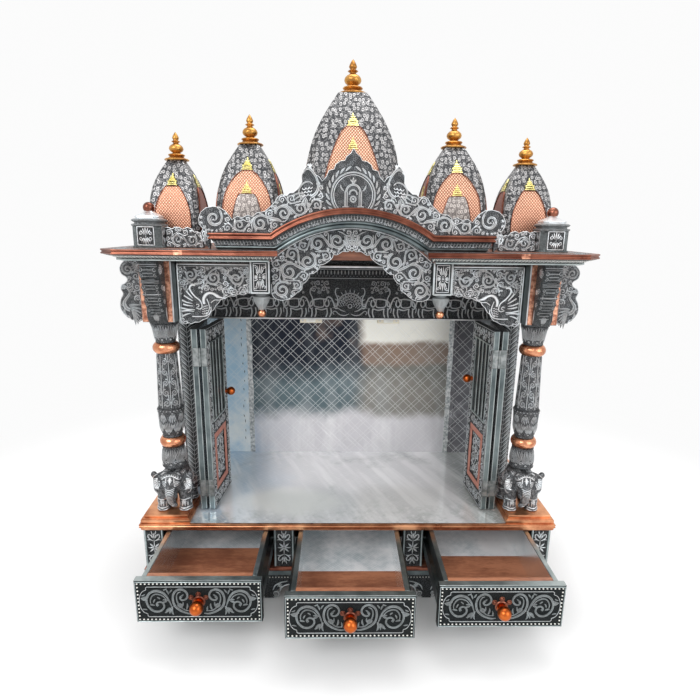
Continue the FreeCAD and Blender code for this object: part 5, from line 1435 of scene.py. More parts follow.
for side in (-1, 1):
    x, y = side * pillar["x"], pillar["y"]
    turns += [lathe(profile, x, y, 64, 40) for profile in (lowProfile, highProfile)]
    rings = []
    for z in np.linspace(*pillar["shaft"], 8):
        radius = float(np.interp(z, pillar["shaft"], pillar["shaftReach"]))
        rings.append([(*polar(x, y, radius, math.pi / 8 + k * math.pi / 4), z) for k in range(8)])
    shafts.append(smooth(loft(rings), 20))
    carvings.append(engrave(shaftStrokes, around(x, y, pillar["shaftTurn"], shaftReach), 0.0013, 0.0006, tone=0.72,
                            groove=0.40))
    for turn, strokes in wraps:
        foot = strokes[0][0][0][1]
        reach = turnedReach(lowProfile if foot < 0.5 else highProfile)
        carvings.append(engrave(strokes, around(x, y, turn, reach), 0.0030 if foot > 0.59 else 0.0014, 0.0012,
                                tone=0.66, groove=0.50))
fit("pillar_turnings", turns + shafts, carved, stands="pillars", tone=0.07)
fit("pillar_leaves", carvings)
print("pillars made")

# Stepped copper blocks and the copper moulding round the deck

blockLow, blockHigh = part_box("pillar_blocks")
block = {"size": 0.107, "step": 0.006, "height": 0.018}
blocks = []
for side in (-1, 1):
    for inset, bottom, top in ((0, 0, 0.5), (0.0022, 0.48, 0.62), (block["step"], 0.6, 1.0)):
        blocks.append(sideBox(side, (blockHigh.x - block["size"] + inset, blockHigh.x - inset),
                              (blockLow.y + inset, blockHigh.y - inset),
                              [blockLow.z + share * block["height"] for share in (bottom, top)], 0.0018))
fit("pillar_copper_blocks", [smooth(joinAll("blocks", blocks), 40)], copperOrange, "copper_sheet",
    stands="pillar_blocks")
x, y, back = deckHigh.x, deckLow.y, deckHigh.y
deckStations = [((-x, back, 0), (-1, 0, 0), (0, 0, 1)), ((-x, y, 0), (-1, -1, 0), (0, 0, 1)),
                ((x, y, 0), (1, -1, 0), (0, 0, 1)), ((x, back, 0), (1, 0, 0), (0, 0, 1))]
deckProfile = mm([(-6.2, 198), (-1.8, 198), (-0.5, 197.4), (0, 196), (-0.2, 194.6), (-1.1, 193.9), (-0.9, 193),
                  (-0.2, 192.2), (-0.1, 190.4), (-0.6, 188.8), (-1.8, 188), (-2.8, 187.4), (-2.6, 185.6),
                  (-3.2, 183.4), (-4.4, 181.4), (-6.2, 180.2)])
fit("deck_copper_moulding", [sweep(deckStations, deckProfile)], copperOrange, "copper_sheet",
    stands="deck_copper_edge")
print("blocks and deck edge made")


# Cabinet
# Cabinet front: carved stiles, plinth bands with dots, scroll feet

stile = {"middles": (0.1442, 0.4314), "halves": (0.0225, 0.0214), "low": 0.086, "high": 0.1795, "border": 0.0023}
motif = fan(0, 0.0205, upward, 0.016, 3, 1.2, 0.14)
motif += bothSides(penned([(0, 16.5), (6.5, 19.5), (12.5, 26.2), (11.8, 32.5), (8.2, 33), (7.8, 29.5)],
                          (0.4, 1.4, 1.6, 1.2, 0.9, 1.3)))
motif += bothSides(leaf(0.0035, 0.0185, 0.6, 0.0125, 0.0015, -0.9, 4) + leaf(0.002, 0.0325, 0.9, 0.0105, 0.0014, 0.6,
                                                                             4))
motif = upAndDown(motif)
for heading in (0.785, 2.356, -0.785, -2.356):
    motif += leaf(*polar(0, 0, 0.0012, heading), heading, 0.0135, 0.0026, 0, 4)
for heading in (0, math.pi):
    motif += leaf(0.0015 * math.cos(heading), 0, heading, 0.013, 0.0016, 0, 4)
for heading in (upward, -upward):
    motif += leaf(0, 0.0015 * math.sin(heading), heading, 0.0155, 0.0014, 0, 4)
silver, border = [], []
for middle, half in zip(stile["middles"], stile["halves"]):
    silver += shifted(motif, middle, (stile["low"] + stile["high"]) / 2)
    for edge in (-1, 1):
        u = middle + edge * (half - 0.0026)
        border += straight([(u, stile["low"]), (u, stile["high"])], stile["border"])
face = onFront(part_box("front_stiles")[0].y)
carve("stile_carving", bothSides(silver), face, 0.0014, tone=0.85, teal=0.1)
carve("stile_borders", bothSides(border), face, 0.0016, teal=0.8)

plinthLow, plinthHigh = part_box("plinth_front")
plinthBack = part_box("plinth_boards")[1].y
plinth = {"band": (0.0612, 0.0725), "out": 0.0022, "dots": 0.0545, "dot": 0.0014, "pitch": 0.0068, "reach": 0.446,
          "sideFace": 0.4508, "line": 0.0352, "scrolls": 0.0412}
front, back = plinthLow.y - plinth["out"], plinthBack
bands = [cleanBox((low, front, plinth["band"][0]), (high, behind, plinth["band"][1]), 0.0008) for low, high, behind in (
    (plinthLow.x, plinthHigh.x, plinthLow.y + 0.001), (plinthLow.x - plinth["out"], plinthLow.x + 0.001, back),
    (plinthHigh.x - 0.001, plinthHigh.x + plinth["out"], back))]
fit("plinth_teal_band", bands, tealMetal)


def footScrolls(outer, way):
    # A bracket foot's scroll and leaves; way is the side on which its arch opens.
    def at(points):
        return [(outer + way * u, v) for u, v in points]

    strokes = spiral(outer, 0.0115, 0.0098, -upward - way * 0.6, way, 1.5, 0.14)
    strokes += stroke(at([(0.009, 0.017), (0.0125, 0.027), (0.024, 0.0345), (0.04, 0.0375)]),
                      [0.0016, 0.0019, 0.0017, 0.0009])
    strokes += stroke(at([(-0.006, 0.022), (-0.001, 0.033), (0.012, 0.041), (0.027, 0.0445)]),
                      [0.0012, 0.0017, 0.0014, 0.0007])
    return strokes + fan(outer + way * 0.004, 0.030, upward - way * 0.9, 0.013, 4, 1.4, 0.12)


def vineScroll(u, index, size):
    return spiral(u, plinth["scrolls"], size, 3.6 if index % 2 else 0.4, -1 if index % 2 else 1, 1.3, 0.16)


apron, dots = [], []
for outer, way in ((0.1655, -1), (0.1965, 1), (0.4395, -1)):
    apron += footScrolls(outer, way)
count = int(2 * plinth["reach"] / plinth["pitch"]) // 2
for index in range(count + 1):
    dots += dot(index * plinth["reach"] / count, plinth["dots"], plinth["dot"])
for low, high in ((0.0, 0.118), (0.243, 0.392)):
    steps = int((high - low) / 0.0155)
    for index in range(steps + 1):
        u = low + (high - low) * index / steps
        if u < 0.001:
            apron += fan(0, 0.0355, upward, 0.0115, 5, 2.2, 0.11)
        else:
            apron += vineScroll(u, index, 0.0060) + leaf(u + 0.0075, 0.0372, 1.2, 0.0085, 0.0011, 0.8, 4)
for low, high in ((0, 0.12), (0.243, 0.395)):
    apron += straight([(low, plinth["line"]), (high, plinth["line"])], 0.0008)
frontFace = onFront(plinthLow.y)
sideFaces = [onSide(side * plinth["sideFace"], side) for side in (-1, 1)]
carve("plinth_scrolls", bothSides(apron), frontFace, 0.0014, tone=0.9, teal=0.4)
sideApron, sideDots = footScrolls(-0.0395, 1) + footScrolls(0.2925, -1), []
for index in range(50):
    sideDots += dot(-0.049 + index * plinth["pitch"], plinth["dots"], plinth["dot"])
for index in range(20):
    sideApron += vineScroll(-0.006 + index * 0.0137, index, 0.0056)
sideApron += straight([(-0.006, plinth["line"]), (0.26, plinth["line"])], 0.0008)
fit("plinth_side_scrolls", [engrave(sideApron, face, 0.0014, tone=0.9, teal=0.4) for face in sideFaces])
fit("plinth_dots", [engrave(bothSides(dots), frontFace, 0.0012)]
    + [engrave(sideDots, face, 0.0012) for face in sideFaces], pearl)
print("cabinet front made")

# Drawers: rim, dotted border, cartouche line with scrolls, petals round the knob, liner

drawer = {"frontInset": 0.0042, "dotInset": 0.0062, "dotPitch": 0.0077, "drawnHalf": 0.1207, "wall": 0.009,
          "split": {"left": -0.0228, "middle": -0.1052, "right": -0.0530}}
scrolls = penned([(-9, -25.5), (-19, -26), (-33, -20.5), (-44, -11), (-48.5, 1), (-48, 14), (-43, 23.5), (-34, 28),
                  (-25, 24.5), (-20.5, 15.5), (-24, 6.5), (-31.5, 4), (-35, 8.5), (-32, 12.5)],
                 (0.8, 1.7, 2.2, 2.4, 2.3, 2.2, 2.2, 2.2, 2.0, 1.9, 1.8, 1.7, 1.8, 2.6))
scrolls += penned([(-13, -20), (-26, -18.5), (-36, -9), (-41, 2), (-41.5, 13), (-38, 20), (-33, 22)],
                  (0.4, 1.2, 1.4, 1.3, 1.2, 1.0, 0.5))
scrolls += penned([(-50, -16), (-55, 0), (-60, 12), (-68, 21), (-80, 24.5), (-91, 20), (-97.5, 10), (-98.5, -2),
                   (-94, -13), (-85, -20.5), (-74, -20), (-66.5, -12), (-67.5, -3), (-74.5, 0.5), (-80, -4),
                   (-77.5, -8.5)], (0.6, 1.6, 2.0, 2.4, 2.6, 2.4, 2.2, 2.1, 2.0, 2.2, 2.1, 1.9, 1.8, 1.7, 1.8, 2.6))
scrolls += penned([(-60, 4), (-68, 13.5), (-79, 17.5), (-87, 13.5), (-91.5, 4), (-91, -5)],
                  (0.4, 1.1, 1.3, 1.3, 1.2, 0.5))
scrolls += leaf(-0.094, 0.012, 3.7, 0.0165, 0.0030, -0.5, 5) + leaf(-0.0965, 0.004, 3.1, 0.0125, 0.0022, -0.3, 5)
for u, v, heading, length, width, bend in (
        (-49, -10, 3.75, 19, 2.3, 0.9), (-51, -14, 4.3, 15.5, 2.0, 0.9), (-55, -13, 3.5, 16, 2.0, 1.0),
        (-57, -16, 4.4, 13, 1.8, -0.9), (-58, 3, 2.3, 11, 2.0, 1.2), (-60, 1, 3.0, 11, 1.9, 0.9),
        (-56, 17, 1.7, 13, 1.6, 0.5), (-54, 20, 1.2, 9, 1.4, -0.4), (-41, -6, -1.1, 12, 1.8, 0.8),
        (-37, -3, -0.5, 10.5, 1.7, -0.8), (-34, -12, 0.6, 13, 1.8, 1.1), (-25, -17, 0.8, 14.5, 1.8, 1.0),
        (-16, -21, 1.1, 12, 1.6, 0.9), (-84, -8, 2.4, 10, 1.7, 1.0), (-86, -2, 1.6, 9, 1.5, -0.8),
        (-73, 6, 1.9, 7.5, 1.4, 0.9), (-28, 16, 3.4, 8, 1.4, 0.9), (-99, -18, 2.4, 9, 1.3, 0.9),
        (-101, 17, -2.2, 8, 1.2, -0.8), (-66, 26, 0.1, 8, 1.1, 0.6)):
    scrolls += leaf(u / 1000, v / 1000, heading, length / 1000, width / 1000, bend, 5)
cartouche = straight(mm([(0, 33), (-96, 33), (-98.5, 31), (-98.5, 26.5)]), 0.0007)
cartouche += penned([(-98.5, 26.5), (-106, 22), (-111, 12), (-112.5, 0), (-111, -12), (-106, -22), (-98.5, -26.5)], 0.7)
cartouche += straight(mm([(-98.5, -26.5), (-98.5, -31), (-96, -33), (0, -33)]), 0.0007)
for name in ("left", "middle", "right"):
    body = "drawer_" + name
    frontLow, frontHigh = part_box("drawer_front_" + name)
    boxLow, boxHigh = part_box("drawer_box_" + name)
    middle = (frontLow + frontHigh) / 2
    halfWide, halfTall = (frontHigh.x - frontLow.x) / 2, (frontHigh.z - frontLow.z) / 2
    face = onFront(frontLow.y)
    edge = drawer["frontInset"] / 2
    frames = rectangle((frontLow.x + edge, frontLow.z + edge), (frontHigh.x - edge, frontHigh.z - edge), 0.0009)
    carve("drawer_frame_" + name, frames, face, 0.0018, body=body, teal=0.8)
    points = []
    across, up = halfWide - drawer["dotInset"], halfTall - drawer["dotInset"]
    wide, tall = round(2 * across / drawer["dotPitch"]), round(2 * up / drawer["dotPitch"])
    for index in range(wide + 1):
        points += [(-across + 2 * across * index / wide, way * up) for way in (-1, 1)]
    for index in range(1, tall):
        points += [(way * across, -up + 2 * up * index / tall) for way in (-1, 1)]
    dots = [mark for u, v in points for mark in dot(middle.x + u, middle.z + v, 0.0017)]
    carve("drawer_dots_" + name, dots, face, 0.0013, pearl, body=body)
    scale = halfWide / drawer["drawnHalf"]
    carve("drawer_scrolls_" + name, shifted(bothSides(scrolls), middle.x, middle.z, scale), face, 0.0022, body=body,
          tone=0.50, teal=0.30, groove=0.52)
    carve("drawer_cartouche_" + name, shifted(bothSides(cartouche), middle.x, middle.z, scale), face, 0.0010,
          body=body, tone=0.8, teal=0.2)
    petals = []
    for turn in (-0.95, 0, 0.95):
        u, v = middle.x + 0.0172 * math.sin(turn), middle.z + 0.0172 * math.cos(turn)
        petals += ring(u, v, 0.0042, 0.0011, 12) + dot(u, v, 0.0026)
    petals += ring(middle.x, middle.z, 0.0105, 0.0022, 24)
    carve("drawer_petals_" + name, petals, face, 0.0024, copperSheet, "copper", body)
    # The box's bounds reach out to its sliders, 9 mm beyond each wall.
    wall, floorTop, rim = drawer["wall"], boxLow.z + 0.006, boxHigh.z
    back, front = boxHigh.y - wall, boxLow.y + wall
    left, right = boxLow.x + 2 * wall, boxHigh.x - 2 * wall
    split = drawer["split"][name]
    lining = [cleanBox((left, split, floorTop - 0.0002), (right, back, floorTop + 0.0005)),
              cleanBox((left, back - 0.0005, floorTop), (right, back + 0.0002, rim - 0.001))]
    fit("drawer_lining_back_" + name, lining, mirrorFloor, "mirror_sheet", body)
    lining = [cleanBox((left, front - 0.0002, floorTop - 0.0002), (right, split, floorTop + 0.0005)),
              cleanBox((left, boxLow.y + 0.0002, rim - 0.0005), (right, front + 0.0003, rim + 0.0004))]
    fit("drawer_lining_front_" + name, lining, drawerFloor, "wood", body)
    lining = [cleanBox((x - 0.0004, front, floorTop), (x + 0.0004, back, rim - 0.0005)) for x in (left, right)]
    fit("drawer_lining_sides_" + name, lining, mirrorSides, "mirror_sheet", body)
    rims = [cleanBox((low, boxLow.y + 0.0002, rim - 0.0006), (low + wall - 0.0004, boxHigh.y, rim + 0.0006), 0.0003)
            for low in (boxLow.x + wall, right + 0.0004)]
    rims.append(cleanBox((left, back, rim - 0.0006), (right, boxHigh.y, rim + 0.0006), 0.0003))
    rims.append(cleanBox((frontLow.x + 0.0005, frontLow.y + 0.0006, frontHigh.z - 0.0006),
                         (frontHigh.x - 0.0005, frontHigh.y - 0.0004, frontHigh.z + 0.0008), 0.0004))
    fit("drawer_rims_" + name, rims, rimMetal, body=body)
print("drawers made")


# Room
# Lintel: procession of elephants on both sides of a lotus, under a row of pendants

lintelLow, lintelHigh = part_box("lintel")
lintel = {"face": 0.1055, "pitch": 0.0585, "first": 0.0665, "bottom": 0.6255, "size": 0.052, "lotus": 0.652}


def walkingElephant():
    # A small elephant that walks towards the middle with its trunk raised, for a size of 1.
    strokes = stroke([(-0.50, 0.40), (-0.50, 0.62), (-0.36, 0.78), (-0.05, 0.84), (0.18, 0.82), (0.30, 0.92),
                      (0.44, 0.86), (0.52, 0.70)], [0.02, 0.034, 0.038, 0.038, 0.034, 0.038, 0.038, 0.034])
    strokes += stroke([(0.52, 0.72), (0.60, 0.52), (0.72, 0.56), (0.72, 0.86), (0.62, 1.10), (0.66, 1.30),
                       (0.78, 1.30)], [0.042, 0.038, 0.034, 0.03, 0.027, 0.024, 0.016])
    for foot, knee in ((-0.46, -0.44), (-0.30, -0.26), (0.20, 0.24), (0.36, 0.42)):
        strokes += stroke([(knee, 0.42), (knee + 0.02, 0.2), (foot, 0.0)], 0.034)
    strokes += stroke([(-0.24, 0.40), (0.0, 0.34), (0.22, 0.40)], 0.035)
    strokes += stroke([(0.24, 0.82), (0.14, 0.62), (0.24, 0.48), (0.34, 0.60), (0.30, 0.80)], 0.035)
    strokes += stroke([(-0.34, 0.76), (-0.30, 0.50), (0.08, 0.48), (0.10, 0.80)], 0.03)
    strokes += dot(0.42, 0.74, 0.03) + stroke([(0.54, 0.56), (0.64, 0.40), (0.74, 0.42)], 0.025)
    return strokes + stroke([(-0.50, 0.6), (-0.58, 0.4), (-0.56, 0.22)], 0.02)


procession = []
for index in range(5):
    middle = -lintel["first"] - index * lintel["pitch"]
    left, right = middle - 0.026, middle + 0.020
    procession += flipped(shifted(walkingElephant(), middle, lintel["bottom"], lintel["size"]))
    procession += flipped(scrollwork([(left, 0.680), (right, 0.680), (right, 0.712), (left, 0.712)],
                                     [0.0075, 0.005, 0.0035], index))
lotus = ring(0, lintel["lotus"], 0.0046, 0.0012, 14)
for radius, count in ((0.0105, 5), (0.0165, 7), (0.0225, 9), (0.0285, 11)):
    for index in range(count):
        angle = math.tau * (index + 0.5) / (2 * count) - 0.12
        lotus += ring(radius * math.cos(angle) * 0.72, lintel["lotus"] + radius * math.sin(angle) * 0.8,
                      radius * 0.27, 0.0007, 8, angle - upward, math.pi)
lotus += ring(0, lintel["lotus"], 0.0305, 0.0008, 30, -0.15, math.pi + 0.3)
for index in range(11):
    angle = math.pi * (index + 0.5) / 11
    lotus += leaf(*polar(0, lintel["lotus"], 0.031, angle), angle, 0.0085, 0.0012, 0, 3)
lotus += bothSides(penned([(2, 634), (12, 630), (24, 632), (34, 640), (40, 637), (37, 632)],
                          (0.8, 1.4, 1.4, 1.1, 0.9, 1.3))
                   + leaf(0.010, 0.639, 0.1, 0.022, 0.0014, 0.6, 5) + leaf(0.028, 0.646, 0.5, 0.014, 0.0012, -0.6, 4))
lotus += straight([(-0.345, 0.7165), (0.345, 0.7165)], 0.0010) + straight([(-0.345, 0.7375), (0.345, 0.7375)], 0.0012)
for index in range(86):
    u = -0.340 + index * 0.008
    lotus += leaf(u, 0.7350, -upward, 0.0105, 0.0016, 0, 3) + dot(u + 0.004, 0.7215, 0.0009)
carve("lintel_carving", bothSides(procession) + lotus, onFront(lintel["face"]), 0.0024, tone=0.56)
lips = [cleanBox((lintelLow.x + 0.001, lintel["face"] - 0.0052, low), (lintelHigh.x - 0.001, behind, high), bevel)
        for low, high, behind, bevel in (
            (lintelLow.z - 0.0004, lintelLow.z + 0.0036, lintel["face"] - 0.001, 0.0012),
            (0.7405, 0.7460, lintel["face"], 0.0014))]
fit("lintel_steel_lines", lips, steel)
print("lintel made")

# Half-round columns beside the doors: feathers slanting up from the middle line

column = {"x": 0.377, "y": 0.1055, "radius": 0.0198, "pitch": 11.8, "bottom": 200.5, "count": 47}
feathers = []
for index in range(column["count"]):
    v = column["bottom"] + index * column["pitch"]
    for way in (-1, 1):
        feathers += penned([(way * 0.8, v), (way * 9, v + 7.5), (way * 19, v + 11.5), (way * 28.5, v + 12.5)],
                           (0.8, 2.1, 2.3, 1.4))
        feathers += penned([(way * 4, v + 8.8), (way * 13, v + 14.2), (way * 26, v + 16.6)], (0.3, 0.8, 0.5))
feathers += straight([(0, 0.2), (0, 0.764)], 0.0007)
fit("column_feathers", [engrave(feathers, around(side * column["x"], column["y"], column["radius"]), 0.0016, tone=0.55,
                                teal=0.25) for side in (-1, 1)])

# Door leaves, made shut on the left and then turned about the jamb's hinges and the fold's hinges

leafPlan = {"wide": 0.126, "low": 0.202, "high": 0.620, "front": 0.1055, "back": 0.1185, "margin": 0.020,
            "recess": 0.003, "lower": (0.238, 0.376), "upper": (0.406, 0.586), "bars": 3, "barWide": 0.006,
            "frame": 0.0145, "hinges": ((0.234, 0.274), (0.539, 0.579)), "jamb": (-0.3485, 0.1027),
            "fold": (-0.2215, 0.1213), "open": 85.5}


def turnAbout(x, y, degrees):
    return Matrix.Translation((x, y, 0)) @ Matrix.Rotation(math.radians(degrees), 4, "Z") @ Matrix.Translation((-x,
                                                                                                                -y, 0))


def outlineOf(left, right, bottom, top):
    return [(left, bottom), (right, bottom), (right, top), (left, top)]


openJamb = turnAbout(*leafPlan["jamb"], -leafPlan["open"])
openFold = openJamb @ turnAbout(*leafPlan["fold"], 2 * leafPlan["open"])
low, high, front, back, lower, upper = [leafPlan[key] for key in ("low", "high", "front", "back", "lower", "upper")]
lows = [low + 0.0005] + [hinge[1] + 0.0005 for hinge in leafPlan["hinges"]]
highs = [hinge[0] - 0.0005 for hinge in leafPlan["hinges"]] + [high - 0.0005]
for kind, start, turned in (("outer", -0.348, openJamb), ("inner", -0.221, openFold)):
    end = start + leafPlan["wide"]
    inLow, inHigh = start + leafPlan["margin"], end - leafPlan["margin"]
    carving = []
    for left, right, bottom, top in ((start + 0.002, inLow - 0.0015, low + 0.003, high - 0.003),
                                     (inHigh + 0.0015, end - 0.002, low + 0.003, high - 0.003),
                                     (inLow, inHigh, low + 0.003, lower[0] - 0.003),
                                     (inLow, inHigh, lower[1] + 0.003, upper[0] - 0.003),
                                     (inLow, inHigh, upper[1] + 0.003, high - 0.003)):
        carving += scrollwork(outlineOf(left, right, bottom, top), [0.0085, 0.0058, 0.004],
                              int(1000 * (left + 1) + 1000 * bottom))
    carving += rectangle((start + 0.001, low + 0.001), (end - 0.001, high - 0.001), 0.0008)
    heart = scrollwork(outlineOf(inLow + 0.016, inHigh - 0.016, lower[0] + 0.016, lower[1] - 0.016),
                       [0.0125, 0.009, 0.006, 0.004], 3)
    carvings = [engrave(strokes, onFront(face), height, sink, tone=0.95, teal=0.1) for strokes, face, height, sink in (
        (carving, front, 0.0011, 0.0008), (heart, front + leafPlan["recess"], 0.0014, 0.0006))]
    width = leafPlan["frame"]
    bottom, top = lower
    frames = [cleanBox((x0 + 0.0002, front + 0.0004, z0 + 0.0002), (x1 - 0.0002, front + 0.0018, z1 - 0.0002), 0.0006)
              for x0, x1, z0, z1 in ((inLow, inHigh, bottom, bottom + width), (inLow, inHigh, top - width, top),
                                     (inLow, inLow + width, bottom + width, top - width),
                                     (inHigh - width, inHigh, bottom + width, top - width))]
    bottom, top = upper
    spacing, half = (inHigh - inLow) / (leafPlan["bars"] + 1), leafPlan["barWide"] / 2
    rails = [cleanBox((middle - half, front + 0.0002, bottom), (middle + half, front + 0.0018, top), 0.0008)
             for middle in [inLow + spacing * (index + 1) for index in range(leafPlan["bars"])]]
    rails += [cleanBox((x0, front - 0.0012, z0), (x1, front + 0.003, z1), 0.0007)
              for x0, x1, z0, z1 in ((inLow - 0.0015, inLow + 0.0015, bottom - 0.0015, top + 0.0015),
                                     (inHigh - 0.0015, inHigh + 0.0015, bottom - 0.0015, top + 0.0015),
                                     (inLow, inHigh, bottom - 0.0015, bottom + 0.0025),
                                     (inLow, inHigh, top - 0.0015, top + 0.0015))]
    edges = [cleanBox((x - 0.0003, front + 0.0006, bottom), (x + 0.0003, back - 0.0006, top))
             for x in (start, end) for bottom, top in zip(lows, highs)]
    lines = [cleanBox((x - 0.00042, y, bottom), (x + 0.00042, y + 0.0014, top))
             for x in (start, end) for y in (front + 0.0006, back - 0.0020) for bottom, top in zip(lows, highs)]
    backs = [cleanBox((start + 0.002, back - 0.0003, low + 0.002), (end - 0.002, back + 0.0003, high - 0.002), 0.0004)]
    for label, parts, material, slot in (
            ("carving", carvings, relief, "oxidised_sheet"), ("copper_frame", frames, copperPink, "copper_sheet"),
            ("bars", rails, rimMetal, "oxidised_sheet"), ("edges", edges, tealMetal, "oxidised_sheet"),
            ("edge_lines", lines, rimMetal, "oxidised_sheet"), ("back_sheet", backs, sheetPressed, "oxidised_sheet")):
        piece = joinAll(label, parts)
        piece.data.transform(turned)
        for side, copy in zip(("left", "right"), withMirror(piece)):
            fit("door_%s_%s_%s" % (side, kind, label), [copy], material, slot, "door_%s_%s" % (side, kind))
print("doors made")

# Shrine room: side panels and rough seams with nails on the back wall, and catches with screws

backLow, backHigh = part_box("back_sheet")
room = {"face": backLow.y, "seams": (-0.271, 0.284), "panelTop": 0.764, "floor": deckTop}
for name, low, high, sheet in (("left", backLow.x + 0.0003, room["seams"][0] - 0.004, panelMirror),
                               ("right", room["seams"][1] + 0.004, backHigh.x - 0.0003, panelShade)):
    panel = cleanBox((low, room["face"] - 0.0006, room["floor"] + 0.0003),
                     (high, room["face"] + 0.0003, room["panelTop"]))
    fit("back_side_panel_" + name, [panel], sheet, "mirror_sheet")
seams, nails = [], []
draw = random.Random(3)
for x, way in zip(room["seams"], (-1, 1)):
    left, right = [], []
    for index in range(48):
        z = room["floor"] + 0.0005 + (room["panelTop"] - room["floor"]) * index / 47
        left.append((x - 0.0055 - draw.uniform(0, 0.0022), z))
        right.append((x + 0.0055 + draw.uniform(0, 0.0022), z))
    seams.append(board(left + right[::-1], room["face"] - 0.0012, room["face"] + 0.0003))
    for index in range(16):
        z = 0.232 + index * 0.025 + draw.uniform(-0.006, 0.006)
        nails += leaf(x + way * 0.019 + draw.uniform(-0.003, 0.003), z, upward + draw.uniform(-0.3, 0.3),
                      draw.uniform(0.004, 0.014), 0.0011, 0.1, 3)
fit("back_wall_seams", seams, seamTin, "mirror_sheet")
carve("back_wall_nails", nails, onFront(room["face"] - 0.0005), 0.0008, blackened, "mirror_sheet")
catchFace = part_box("magnetic_catches")[0].y
screws, strikes = [], []
for x in (-0.092, 0.092):
    screws += [engrave(dot(x + offset, 0.615, 0.0022), onFront(catchFace), 0.0002) for offset in (-0.0195, 0.0195)]
    strikes.append(cleanBox((x - 0.011, catchFace - 0.0002, 0.6105), (x + 0.011, catchFace + 0.0005, 0.6195)))
fit("catch_screws", screws, steel, "steel")
fit("catch_strikes", strikes, pearl, "cream_plastic")
walls = [sideBox(side, (0.3484, 0.3492), (0.118, 0.2900), (room["floor"] + 0.0003, room["panelTop"]))
         for side in (-1, 1)]
fit("side_wall_sheets", walls, wallMirror, "mirror_sheet")
print("room made")

# Elephants that carry the pillars

elephant = {"x": 0.388, "front": -0.0705, "foot": 0.216, "wide": 0.088, "deep": 0.092, "tall": 0.098,
            "grain": 0.0013}


def shares(x, y, z):
    return Vector((elephant["x"] + x * elephant["wide"], elephant["front"] + y * elephant["deep"],
                   elephant["foot"] + z * elephant["tall"]))


def lump(middle, sizes):
    deselect()
    bpy.ops.mesh.primitive_uv_sphere_add(segments=28, ring_count=18, radius=1)
    centre = np.array(shares(*middle))
    scale = np.array(sizes) * [elephant[key] for key in ("wide", "deep", "tall")]
    return movePoints(bpy.context.object, lambda points: centre + points * scale)


def tube(points, radii):
    line = rounded([shares(*point) for point in points], 5)
    spread = np.interp(np.linspace(0, 1, len(line)), np.linspace(0, 1, len(radii)), radii)
    return swept([(line, list(spread))], 4)


parts = [lump(*sizes) for sizes in (
    ((0, 0.56, 0.62), (0.40, 0.43, 0.33)), ((0, 0.60, 0.84), (0.30, 0.33, 0.15)),
    ((0, 0.23, 0.68), (0.25, 0.20, 0.25)), ((0.13, 0.20, 0.84), (0.13, 0.13, 0.12)),
    ((-0.13, 0.20, 0.84), (0.13, 0.13, 0.12)), ((0, 0.11, 0.62), (0.15, 0.10, 0.16)),
    ((0.35, 0.26, 0.66), (0.145, 0.055, 0.22)), ((-0.35, 0.26, 0.66), (0.145, 0.055, 0.22)),
    ((0.40, 0.24, 0.54), (0.085, 0.045, 0.13)), ((-0.40, 0.24, 0.54), (0.085, 0.045, 0.13)))]
for x, y in ((0.27, 0.30), (-0.27, 0.30), (0.27, 0.82), (-0.27, 0.82)):
    parts.append(tube([(x * 0.93, y, 0.55), (x, y, 0.25), (x, y, 0.08), (x, y - 0.01, 0.004)],
                      [0.0145, 0.0125, 0.0135, 0.0150]))
parts.append(tube([(0, 0.10, 0.66), (0, 0.045, 0.50), (0, 0.075, 0.33), (-0.02, 0.10, 0.25), (-0.07, 0.075, 0.20),
                   (-0.12, 0.05, 0.23)], [0.0125, 0.0115, 0.0090, 0.0070, 0.0055, 0.0045]))
for side in (-1, 1):
    parts.append(tube([(side * 0.10, 0.13, 0.50), (side * 0.14, 0.03, 0.42), (side * 0.15, -0.012, 0.47)],
                      [0.0040, 0.0032, 0.0016]))
    parts.append(tube([(side * 0.40, 0.25, 0.84), (side * 0.44, 0.22, 0.90), (side * 0.47, 0.23, 0.86),
                       (side * 0.45, 0.24, 0.80)], [0.0045, 0.0052, 0.0046, 0.0030]))
beast = modify(joinAll("elephant", parts), "REMESH", mode="VOXEL", voxel_size=elephant["grain"])
beast = smooth(modify(beast, "SMOOTH", iterations=5, factor=0.5), 70)
pick(beast)
tree = BVHTree.FromObject(beast, bpy.context.evaluated_depsgraph_get())


def draped(direction):
    # Lays strokes on the elephant, seen along a direction. u runs across and v upwards.
    direction = Vector(direction)

    def place(u, v, w):
        points = []
        for a, b, c in zip(u, v, w):
            start = Vector((elephant["x"] + a, -0.5, b))
            if not direction.y:
                start = Vector((elephant["x"] - direction.x * 0.5, elephant["front"] + a, b))
            hit = tree.ray_cast(start, direction)[0] or tree.find_nearest(start + direction * 0.47)[0]
            points.append(hit - direction * c)
        return np.array(points)
    return place


def local(x, z):
    return x * elephant["wide"], elephant["foot"] + z * elephant["tall"]


def worn(points, weight):
    return stroke([local(*point) for point in points], weight)


brow = []
for index in range(5):
    brow += bothSides(dot(*local(0.03 + 0.055 * index, 0.90 - 0.004 * index * index), 0.0013))
brow += bothSides(worn([(0.0, 0.885), (0.12, 0.872), (0.24, 0.80)], 0.0010))
brow += bothSides(worn([(0.02, 0.95), (0.14, 0.955), (0.24, 0.90)], 0.0010))
brow += bothSides(leaf(*local(0.09, 0.86), -1.2, 0.0125, 0.0016, -0.6, 4)
                  + leaf(*local(0.15, 0.86), -0.9, 0.011, 0.0014, 0.4, 4))
brow += leaf(*local(0, 0.87), -upward, 0.016, 0.0024, 0, 4) + rosette(*local(0, 0.80), 0.0052, 6, 0.26)
brow += bothSides(ring(*local(0.145, 0.70), 0.0034, 0.0008, 12) + dot(*local(0.145, 0.70), 0.0014)
                  + worn([(0.09, 0.745), (0.15, 0.765), (0.21, 0.73)], 0.0008))
for index in range(12):
    z, reach = 0.63 - 0.038 * index, 0.118 - 0.0048 * index
    brow += worn([(-reach, z + 0.006), (0, z - 0.012), (reach, z + 0.006)], 0.0008)
ears, legs, blanket = [], [], []
